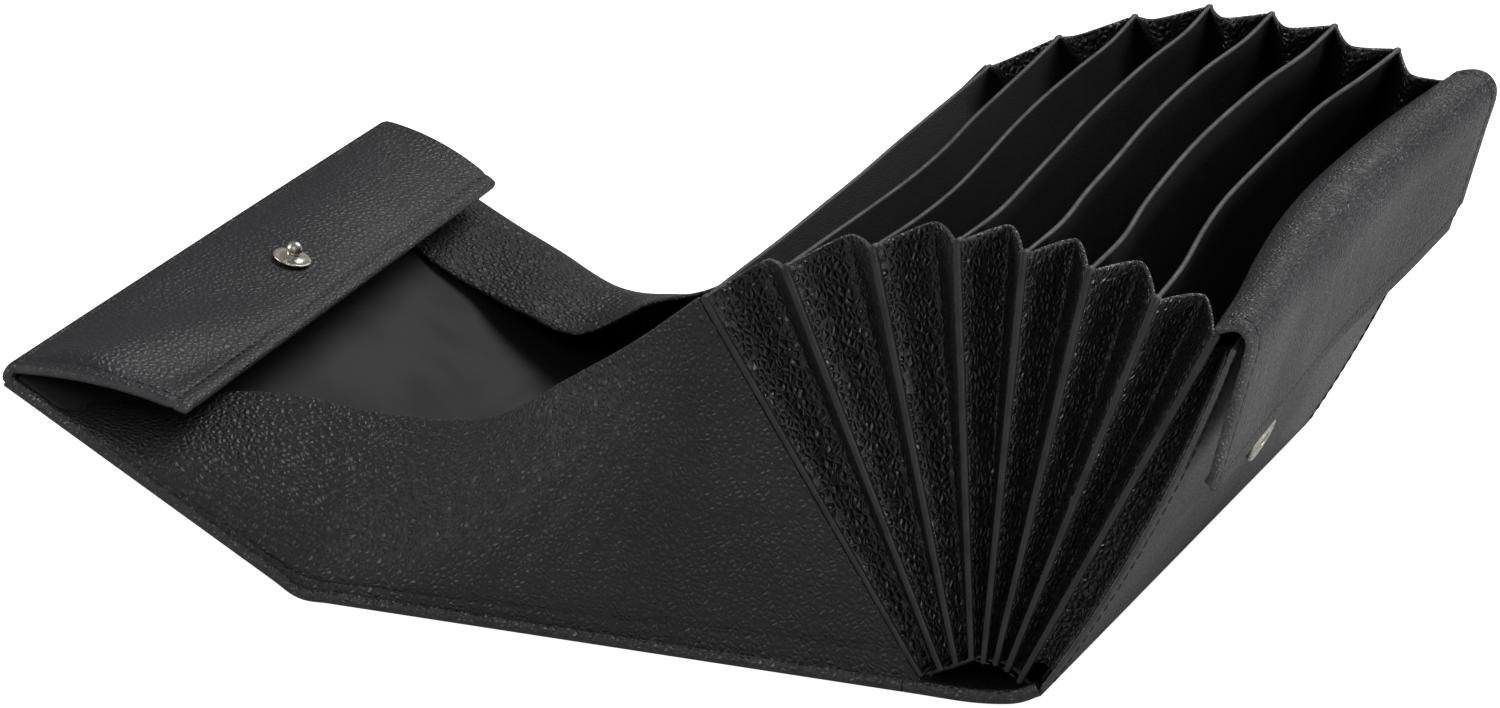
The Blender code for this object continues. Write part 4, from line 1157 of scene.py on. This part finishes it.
def lip_half(share):
    """Half the lip's width. It narrows from the fold to the free edge."""
    return COVER_HALF - LIP_THICKNESS / 2 - LIP_FOLD_INSET - (LIP_INSET - LIP_FOLD_INSET) * share


def lip_swell(y, distance):
    """Soft folds in the lip: a raised ridge that crosses its near half, and a hollow beside it."""
    slant = distance - LIP_SLANT * (y + LENGTH / 2)
    ridge, hollow = [dip(slant - place, width) * height for place, width, height in (LIP_RIDGE, LIP_HOLLOW)]
    ripple = np.sin(y / LENGTH * LIP_RIPPLE_TURN) * np.sin(distance / LIP_RIPPLE_WIDTH)
    return (ridge - hollow) * soft(-y, *LIP_NEAR_PART) + LIP_RIPPLE * ripple


def crowded(length, count):
    """Places from one edge to the other, crowded round the stitch lines beside both edges."""
    edge = np.array(LINE_STEPS) * MM
    length = np.asarray(length, float)[..., None]
    middle = edge[-1] + (length - 2 * edge[-1]) * steps(0, 1, count)[1:-1]
    start = np.broadcast_to(edge, length.shape[:-1] + edge.shape)
    return np.concatenate([start, middle, length - start[..., ::-1]], -1)


def stitch_groove(distances, inset=STITCH_INSET):
    """How much thinner the wall is at a point, from its distances to the edges that are sewn."""
    depth = 0
    for distance in distances:
        depth = np.maximum(depth, dip(distance - inset, GROOVE_WIDTH))
    return depth * GROOVE_DEPTH


def lip_reach(y):
    """How far the lip's middle surface reaches from the fold."""
    return between(LIP_NEAR_LENGTH, LIP_FAR_LENGTH, y) - LIP_THICKNESS / 2


def make_lip():
    half = lip_half(1.0)
    line = -half + crowded(2 * half, LIP_COLUMNS)
    reach = lip_reach(line)
    distance = crowded(reach, LIP_ROWS).T
    y = line * lip_half(distance / reach) / half
    inside = np.minimum(half - np.abs(line), np.minimum(distance, reach - distance))
    grid = lip_place(y, distance, lip_swell(y, distance) * soft(inside, 0, LIP_SWELL_INSET))
    near_side = np.broadcast_to(half + line, distance.shape)
    wall = LIP_THICKNESS - stitch_groove((reach - distance, near_side), LIP_STITCH_INSET)
    piece = shell("lip_leaf", grid, wall, silky)
    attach(piece, "cover_lip")
    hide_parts("cover_lip")


def sew_lip():
    """A row along the free edge and one down the near side."""
    half, inset = lip_half(1.0), LIP_STITCH_INSET
    top = LIP_THICKNESS / 2 - GROOVE_DEPTH / 2
    run = steps(inset - half, half - inset, EDGE_SEAM_POINTS)
    reach = lip_reach(run)
    down = steps(inset, reach[0] - inset, SIDE_SEAM_POINTS)
    near_edge = (inset - half) * lip_half(down / reach[0]) / half
    paths = [lip_place(run, reach - inset, top), lip_place(near_edge, down, top)]
    stitches = sew("lip_stitches", paths)
    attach(stitches, "cover_lip")


make_lip()
sew_lip()
print("lip:", round(LIP_NEAR_LENGTH / MM), "to", round(LIP_FAR_LENGTH / MM), "mm wide")

# %% [markdown]
# At the fold itself the leather turns round from the cover's underside to the top of the lip. It is
# a bar with a half-round section along the whole edge, thinner at its two ends.

# %% Fold of the lip
FOLD_REACH = 2.2 * MM
FOLD_SINK = 0.5 * MM
FOLD_TAPER, FOLD_END_SHARE = 3 * MM, 0.45
FOLD_END_INSET, FOLD_FULLNESS = 0.8 * MM, 0.8
FOLD_SPACING, FOLD_ROWS = 4 * MM, 20


def make_lip_fold():
    half = COVER_HALF - FOLD_END_INSET
    y = lengthwise(half, FOLD_SPACING)
    rise = cover_rise(y)
    outward = np.stack([-np.cos(rise), 0 * y, np.sin(rise)], -1)
    upward = np.stack([np.sin(rise), 0 * y, np.cos(rise)], -1)
    top, bottom = SEAM_GAP + LIP_THICKNESS, -COVER_THICKNESS
    centre = cover_place(cover_end_at(y), y, 0.0) + upward * (top + bottom) / 2
    from_end = np.clip((half - np.abs(y)) / FOLD_TAPER, 0, 1)
    size = (FOLD_END_SHARE + (1 - FOLD_END_SHARE) * np.sqrt(1 - (1 - from_end) ** 2))[:, None]
    outer, inner = [], []
    for angle in steps(-math.pi / 2, math.pi / 2, FOLD_ROWS):
        level = centre + upward * size * (top - bottom) / 2 * math.sin(angle)
        outer.append(level + outward * size * FOLD_REACH * max(math.cos(angle), 0) ** FOLD_FULLNESS)
        inner.append(level - outward * FOLD_SINK)
    rim = edge_marks(y, half, len(outer))
    piece = closed("lip_fold_roll", np.array(outer), np.array(inner), pebbled, rim)
    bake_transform(piece)


make_lip_fold()
print("roll of the lip:", round((COVER_THICKNESS + SEAM_GAP + LIP_THICKNESS) / MM, 1), "mm thick")

# %% [markdown]
# The outer panel is the wallet's outer face: smooth leather that swells gently, backed by a thin
# lining. They are two leaves, and both edges show at the near end.

# %% Outer panel
PANEL_HEIGHT = 94 * MM
PANEL_LEATHER, PANEL_LINING = 1.4 * MM, 0.8 * MM
PANEL_LEANS = (26.4, 23.8)
PANEL_BELLY = 3 * MM
PANEL_BOW_SHARE, PANEL_BOW_POWER = 0.6, 2.5
PANEL_LINING_INSET = 2 * MM
PANEL_GROOVE_SHARE = 0.6
PANEL_COLUMNS, PANEL_ROWS = 56, 34
THREAD_LIFT, PANEL_SEAM_POINTS = 0.08 * MM, 40
panel_wall = Wall(panel_foot, PANEL_LEANS, PANEL_HEIGHT, np.array(TOP_BOWS[-1]) * PANEL_BOW_SHARE,
                  PANEL_BOW_POWER, PANEL_BELLY)


def make_panel_leaf(name, node, depth, thickness, inset, material):
    half = LENGTH / 2 - inset - thickness / 2
    y = -half + crowded(2 * half, PANEL_COLUMNS)[None, :]
    low, high = inset + thickness / 2, PANEL_HEIGHT - inset - thickness / 2
    rise = (low + crowded(high - low, PANEL_ROWS))[:, None]
    groove = 0.0 if inset else stitch_groove((half - np.abs(y), high - rise)) * PANEL_GROOVE_SHARE
    piece = shell(name, panel_wall.place(y, rise, -depth), thickness - groove, material)
    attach(piece, "outer_panel")
    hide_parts(node)


def sew_panel():
    half = LENGTH / 2 - STITCH_INSET
    rise = steps(STITCH_INSET, PANEL_HEIGHT - STITCH_INSET, PANEL_SEAM_POINTS)
    paths = [panel_wall.place(sign * half, rise, THREAD_LIFT) for name, sign in SIDES]
    stitches = sew("panel_stitches", paths)
    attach(stitches, "outer_panel")


make_panel_leaf("panel_leather", "outer_panel", PANEL_LEATHER / 2, PANEL_LEATHER, 0.0, silky)
make_panel_leaf("panel_backing", "outer_lining", PANEL_LEATHER + SEAM_GAP + PANEL_LINING / 2, PANEL_LINING,
                PANEL_LINING_INSET, lining_cloth)
sew_panel()
print("outer panel:", round(LENGTH / MM), "x", round(PANEL_HEIGHT / MM), "mm")

# %% [markdown]
# The last pocket is narrow. At each end a short folded strip joins the last divider to the panel's
# inner face.

# %% Strips of the last pocket
STRIP_FOOT, STRIP_TOP = 6 * MM, 4 * MM
STRIP_DEPTH, STRIP_FOOT_SHARE = 5 * MM, 0.3
STRIP_ROWS, STRIP_COLUMNS = 34, 21


def make_end_strip(side, sign):
    rise = steps(STRIP_FOOT, DIVIDER_HEIGHT - STRIP_TOP, STRIP_ROWS)
    rise, share = np.meshgrid(rise, steps(0, 1, STRIP_COLUMNS), indexing="ij")
    end = sign * (LENGTH / 2 - PLEAT_SETBACK)
    start = dividers[-1].place(end, rise, RIDGE_FOOT / 4)
    stop = panel_wall.place(end, rise, -(PANEL_LEATHER + SEAM_GAP))
    grid = start + (stop - start) * share[..., None]
    fold = 1 - np.abs(2 * share - 1) ** PLEAT_POWER
    depth = STRIP_DEPTH * (STRIP_FOOT_SHARE + (1 - STRIP_FOOT_SHARE) * rise / DIVIDER_HEIGHT)
    grid[..., 1] -= sign * depth * fold
    piece = shell(f"{side}_end_strip", grid, PLEAT_THIN, bellows_leather)
    ends = [floats(wall.place(end, DIVIDER_HEIGHT / 2)) for wall in (dividers[-1], panel_wall)]
    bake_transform(piece)
    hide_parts(f"{side}_pleat_{len(dividers)}")


for side, sign in SIDES:
    make_end_strip(side, sign)
print("end strips made:", len(SIDES))

# %% [markdown]
# The flap starts at the top of the last divider, arches over the pocket and hangs down outside the
# panel. Its section is a smooth curve through a few points at each place along the length. It puffs
# up in the middle, where the divider bows away from the panel. The leaf is doubled and turned at its
# edges, so it is thick, with a round rim and a line of stitches.

# %% Pocket flap
FLAP_SEAT = 0.6 * MM
FLAP_THICKNESS = 2.2 * MM
FLAP_REACH, FLAP_ARCH, FLAP_DROP = 7.5 * MM, 2.4 * MM, 36 * MM
FLAP_TUCK, FLAP_FAR_REACH, FLAP_CORNER = 0.9 * MM, 1.5 * MM, 5 * MM
FLAP_PUFF = 0.9
FLAP_BOW_REACH, FLAP_BOW_LOW = 0.65, 0.6
FLAP_ARCH_SHARES = ((0.35, 0.92), (0.63, 1.0), (0.88, 0.55), (1.0, -0.75))
FLAP_LEAF_SHARES = (0.25, 0.5, 0.75, 0.9, 1.0)
FLAP_KNOTS = len(FLAP_ARCH_SHARES) + len(FLAP_LEAF_SHARES)
FLAP_SWELL, FLAP_SWELL_TURN, FLAP_SWELL_LEAN = 0.5 * MM, 11, 4
FLAP_HANG_SHARES = (0.3, 0.6)
CORNER_LIFT_SHARE, CORNER_PULL_SHARE = 0.6, 0.012
FLAP_GROOVE_SHARE, FLAP_THREAD_SHARE = 0.7, 0.3
FLAP_ARCH_ROWS, FLAP_LEAF_ROWS, FLAP_COLUMNS = 26, 30, 60
FLAP_FIRST_STITCH_ROW = 8


def flap_sections(y):
    """Points of the flap's section at each place along the length: an array of (knot, y, xyz)."""
    wall = dividers[-1]
    half = LENGTH / 2
    top = wall.place(y, DIVIDER_HEIGHT)
    knots = [wall.place(y, DIVIDER_HEIGHT + FLAP_SEAT + FLAP_THICKNESS / 2)]
    bow = wall.bow(y)
    far_reach = between(0.0, FLAP_FAR_REACH, y)
    reach = FLAP_REACH + far_reach - FLAP_BOW_REACH * bow
    arch = FLAP_ARCH * (1 + FLAP_PUFF * (1 - (y / half) ** 2))
    for out, up_share in FLAP_ARCH_SHARES:
        knots.append(top + np.stack([reach * out, 0 * y, arch * up_share], -1))
    shoulder = knots[-1]
    drop = FLAP_DROP - between(0.0, FLAP_CORNER / 2, y) * (np.abs(y) / half)
    low = top + np.stack([far_reach - FLAP_TUCK - FLAP_BOW_LOW * bow, 0 * y, -drop], -1)
    for share in FLAP_LEAF_SHARES:
        knots.append(shoulder + (low - shoulder) * share)
    return np.array(knots)


def flap_grid():
    """The flap's middle surface with rounded lower corners, and each point's distances to its edges."""
    half = LENGTH / 2 - FLAP_THICKNESS / 2
    y = -half + crowded(2 * half, FLAP_COLUMNS)
    arch = len(FLAP_ARCH_SHARES)
    places = np.concatenate([steps(0, arch, FLAP_ARCH_ROWS), steps(arch, FLAP_KNOTS, FLAP_LEAF_ROWS)[1:]])
    grid, down = through(flap_sections(y), places), places[:, None] / FLAP_KNOTS
    swell = FLAP_SWELL * np.sin(y / LENGTH * FLAP_SWELL_TURN + FLAP_SWELL_LEAN * down)
    swell = swell * soft(down, *FLAP_HANG_SHARES) * (1 - (y / half) ** 2)
    grid = grid + surface_normals(grid) * swell[..., None]
    ends = half - np.abs(y) + 0 * down
    length = np.linalg.norm(np.diff(grid, axis=0), axis=-1)
    below = np.concatenate([np.cumsum(length[::-1], axis=0)[::-1], np.zeros((1, len(y)))])
    rounding = np.maximum(0, FLAP_CORNER - below) * np.maximum(0, FLAP_CORNER - ends) / FLAP_CORNER**2
    grid[..., 2] += rounding * FLAP_CORNER * CORNER_LIFT_SHARE
    grid[..., 1] *= 1 - rounding * CORNER_PULL_SHARE
    return grid, ends, below


def sew_flap(grid, ends, below):
    """A row down both ends and one along the lower edge, on the outer face."""
    middle = grid.shape[1] // 2
    normal = surface_normals(grid)
    normal = normal * np.sign(normal[-1, middle, 0])
    outer = grid + normal * (FLAP_THICKNESS / 2 - GROOVE_DEPTH * FLAP_THREAD_SHARE)
    column = int(np.argmin(np.abs(ends[0, :middle] - STITCH_INSET)))
    row = int(np.argmin(np.abs(below[:, middle] - STITCH_INSET)))
    sides = [outer[FLAP_FIRST_STITCH_ROW:row + 1, place] for place in (column, -column - 1)]
    return sew("flap_stitches", [sides[0], outer[row, column:-column - 1], sides[1]])


def make_flap():
    grid, ends, below = flap_grid()
    wall = FLAP_THICKNESS - stitch_groove((ends, below)) * FLAP_GROOVE_SHARE
    piece = shell("flap_leaf", grid, wall, flap_leather)
    stitches = sew_flap(grid, ends, below)
    top = dividers[-1].place(np.array([-1, 1]) * LENGTH / 2, DIVIDER_HEIGHT).mean(0)
    for part in (piece, stitches):
        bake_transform(part)
    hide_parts("pocket_flap")


make_flap()
print("flap hangs", round(FLAP_DROP / MM), "mm")

# %% [markdown]
# The snap has a stud on the lip and a socket on the panel, both turned from sheet metal. A turned
# piece is a profile of radius and height, spun about its axis. The profile has its small radii in
# it, because a bright ring is what shows on so small a piece.

# %% Snap
STUD_FROM_HINGE_SHARE = 0.57
STUD_FOOT_RADIUS, STUD_FOOT_HEIGHT = 4.6 * MM, 1.0 * MM
STUD_NECK_RADIUS, STUD_BALL_RADIUS, STUD_HEIGHT = 1.5 * MM, 1.95 * MM, 4.4 * MM
CAP_RADIUS, CAP_HEIGHT = 5.5 * MM, 1.0 * MM
SOCKET_RISE, SOCKET_RADIUS, SOCKET_HEIGHT = 34.7 * MM, 5.6 * MM, 1.6 * MM
SOCKET_MOUTH, SOCKET_FLOOR = 2.2 * MM, 0.5 * MM
WASHER_RADIUS, WASHER_HEIGHT = 5.0 * MM, 0.7 * MM
SNAP_SEAT = 0.35 * MM
STUD_EDGE_SHARE, DISC_EDGE_SHARE, SOCKET_EDGE_SHARE = 0.3, 0.45, 0.4
# Radius and height, as shares of the foot's or the neck's
STUD_DISH_SHARES = ((0.78, 0.42), (1.7, 0.5))
STUD_NECK_FOOT_SHARE, STUD_NECK_TOP_SHARE = 1.15, 0.62
DISC_FLAT_SHARE = 0.7
# Radius as shares of the socket's and of its mouth's, height as shares of the socket's
SOCKET_BOWL_SHARES = ((0.8, 0.8), (1.4, 0.78))
SOCKET_LIP_SHARES = (1.18, 0.86, 0.14)
SOCKET_WELL_SHARES = (1.3, 0.8)
TURNED_STEPS = 48
SHARP_METAL = math.radians(40)
AXIS_STEP_SHARE = 0.02


def spin(name, node, body, profile, seat, axis):
    """A turned piece on its seat, standing along axis."""
    build = bmesh.new()
    verts = [build.verts.new((radius, 0, height)) for radius, height in profile]
    edges = [build.edges.new(pair) for pair in zip(verts, verts[1:])]
    bmesh.ops.spin(build, geom=verts + edges, axis=(0, 0, 1), cent=(0, 0, 0), angle=math.tau,
                   steps=TURNED_STEPS, use_merge=True)
    piece = finish_build(build, bpy.data.meshes.new(name), snap_metal, SHARP_METAL)
    turn = axis.to_track_quat("Z", "Y").to_matrix().to_4x4()
    piece.data.transform(Matrix.Translation(seat) @ turn)
    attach(piece, body)
    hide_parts(node)


def arc(centre, radius, low, high, count=7):
    """Profile points round an arc; angles in degrees from straight out."""
    angles = np.radians(steps(low, high, count))
    return [(centre[0] + radius * math.cos(a), centre[1] + radius * math.sin(a)) for a in angles]


def rounded_foot(radius, edge, last):
    """The start of a profile: a flat underside with a rounded edge."""
    return [(0, 0), (radius - edge, 0)] + arc((radius - edge, edge), edge, -90, last)


def stud_profile():
    foot = rounded_foot(STUD_FOOT_RADIUS, STUD_FOOT_HEIGHT * STUD_EDGE_SHARE, 80)
    radii = (STUD_FOOT_RADIUS, STUD_NECK_RADIUS)
    dish = [(radius * out, STUD_FOOT_HEIGHT * up) for radius, (out, up) in zip(radii, STUD_DISH_SHARES)]
    ball = STUD_HEIGHT - STUD_BALL_RADIUS
    neck = [(STUD_NECK_RADIUS * STUD_NECK_FOOT_SHARE, STUD_FOOT_HEIGHT),
            (STUD_NECK_RADIUS, ball - STUD_BALL_RADIUS * STUD_NECK_TOP_SHARE)]
    return foot + dish + neck + arc((0, ball), STUD_BALL_RADIUS, -38, 90, 12)


def disc_profile(radius, height):
    foot = rounded_foot(radius, height * DISC_EDGE_SHARE, 70)
    return foot + [(radius * DISC_FLAT_SHARE, height), (0, height)]


def socket_profile():
    edge = SOCKET_HEIGHT * SOCKET_EDGE_SHARE
    points = [(0, 0), (SOCKET_RADIUS - edge, 0)]
    points += arc((SOCKET_RADIUS - edge, SOCKET_HEIGHT - edge), edge, -60, 85)
    radii = (SOCKET_RADIUS, SOCKET_MOUTH)
    points += [(radius * out, SOCKET_HEIGHT * up) for radius, (out, up) in zip(radii, SOCKET_BOWL_SHARES)]
    out, up, round_share = SOCKET_LIP_SHARES
    points += arc((SOCKET_MOUTH * out, SOCKET_HEIGHT * up), SOCKET_MOUTH * round_share, 60, 200)
    wall_share, floor_share = SOCKET_WELL_SHARES
    points.append((SOCKET_MOUTH, SOCKET_FLOOR * wall_share))
    return points + [(SOCKET_MOUTH * floor_share, SOCKET_FLOOR), (0, SOCKET_FLOOR)]


def make_stud():
    """The stud on the lip and its cap under it."""
    length = float(between(LIP_NEAR_LENGTH, LIP_FAR_LENGTH, 0.0))
    here = Vector(lip_place(0.0, length * STUD_FROM_HINGE_SHARE))
    beyond = Vector(lip_place(0.0, length * (STUD_FROM_HINGE_SHARE + AXIS_STEP_SHARE)))
    run = (beyond - here).normalized()
    axis = Vector((-run.z, 0, run.x))
    lift = axis * (LIP_THICKNESS / 2 + SNAP_SEAT)
    spin("stud", "snap_stud", "cover_lip", stud_profile(), here + lift, axis)
    spin("stud_back", "stud_cap", "cover_lip", disc_profile(CAP_RADIUS, CAP_HEIGHT), here - lift, -axis)


def make_socket():
    """The socket on the outer panel and its washer behind it."""
    rises = (SOCKET_RISE - SOCKET_RADIUS, SOCKET_RISE, SOCKET_RISE + SOCKET_RADIUS)
    below, face, above = [Vector(panel_wall.place(0.0, rise)) for rise in rises]
    run = (above - below).normalized()
    axis = Vector((run.z, 0, -run.x))
    behind = PANEL_LEATHER + SEAM_GAP + PANEL_LINING + SNAP_SEAT
    spin("socket", "socket_ring", "outer_panel", socket_profile(), face + axis * SNAP_SEAT, axis)
    spin("socket_back", "socket_washer", "outer_panel", disc_profile(WASHER_RADIUS, WASHER_HEIGHT),
         face - axis * behind, -axis)


make_stud()
make_socket()
print("stud height:", round(STUD_HEIGHT / MM, 1), "mm")

# %% [markdown]
# The photograph has a plain white ground and broad, soft light. A large lamp at the back lights the
# lip, the tray and the flap. A low one at the right gives the panel its sheen, one at the left lights
# the near gusset, a small one in front brings out the grain, and the dim world lights the rest. The
# ground and the world are bright to the camera only, so that no extra light falls on the wallet, and
# its shadow stays on the floor.

# %% Light and floor
WORLD_LIGHT = 0.2
WHITE = (1, 1, 1, 1)
FLOOR_HALF, FLOOR_DROP = 6.0, 0.02 * MM
FLOOR_COLOUR, FLOOR_LIFT = (0.82, 0.82, 0.82, 1), 0.9
TRAY, FAN = (-0.06, 0, 0.05), (0.05, 0, 0.05)
# Name, place, what it points at, size and power
LAMPS = (("key", (0.2, 0.8, 0.9), TRAY, 0.7, 8.0), ("side", (1.1, -0.25, 0.15), FAN, 0.5, 9.0),
         ("fill", (-1.1, -0.35, 0.6), TRAY, 0.6, 5.5), ("front", (0.2, -1.2, 0.9), TRAY, 0.5, 3.5))


def make_world():
    world = bpy.data.worlds.new("studio")
    world.use_nodes = True
    tree = world.node_tree
    seen = put(tree, "ShaderNodeLightPath").outputs["Is Camera Ray"]
    strength = smooth_range(tree, seen, 0.0, 1.0, WORLD_LIGHT, 1.0)
    tree.links.new(strength, tree.nodes["Background"].inputs["Strength"])
    tree.nodes["Background"].inputs["Color"].default_value = WHITE
    bpy.context.scene.world = world


def make_floor():
    material, tree, shader = new_material("white_ground")
    tree.nodes.remove(shader)
    matte = put(tree, "ShaderNodeBsdfDiffuse", {"Color": FLOOR_COLOUR})
    seen = put(tree, "ShaderNodeLightPath").outputs["Is Camera Ray"]
    strength = maths(tree, "MULTIPLY", seen, FLOOR_LIFT)
    glow = put(tree, "ShaderNodeEmission", {"Color": WHITE, "Strength": strength})
    total = put(tree, "ShaderNodeAddShader", {0: matte.outputs[0], 1: glow.outputs[0]})
    tree.links.new(total.outputs[0], tree.nodes["Material Output"].inputs[0])
    mesh = bpy.data.meshes.new("floor")
    signs = ((-1, -1), (1, -1), (1, 1), (-1, 1))
    mesh.from_pydata([(x * FLOOR_HALF, y * FLOOR_HALF, -FLOOR_DROP) for x, y in signs], [], [(0, 1, 2, 3)])
    mesh.materials.append(material)
    link_object("floor", mesh)


def make_lamp(name, place, aim_at, size, power):
    light = bpy.data.lights.new(name, "AREA")
    light.shape = "SQUARE"
    light.size = size
    light.energy = power
    lamp = link_object(name, light)
    lamp.location = place
    lamp.rotation_euler = (Vector(aim_at) - Vector(place)).to_track_quat("-Z", "Y").to_euler()


make_world()
make_floor()
for lamp_values in LAMPS:
    make_lamp(*lamp_values)
print("lamps:", len(LAMPS))
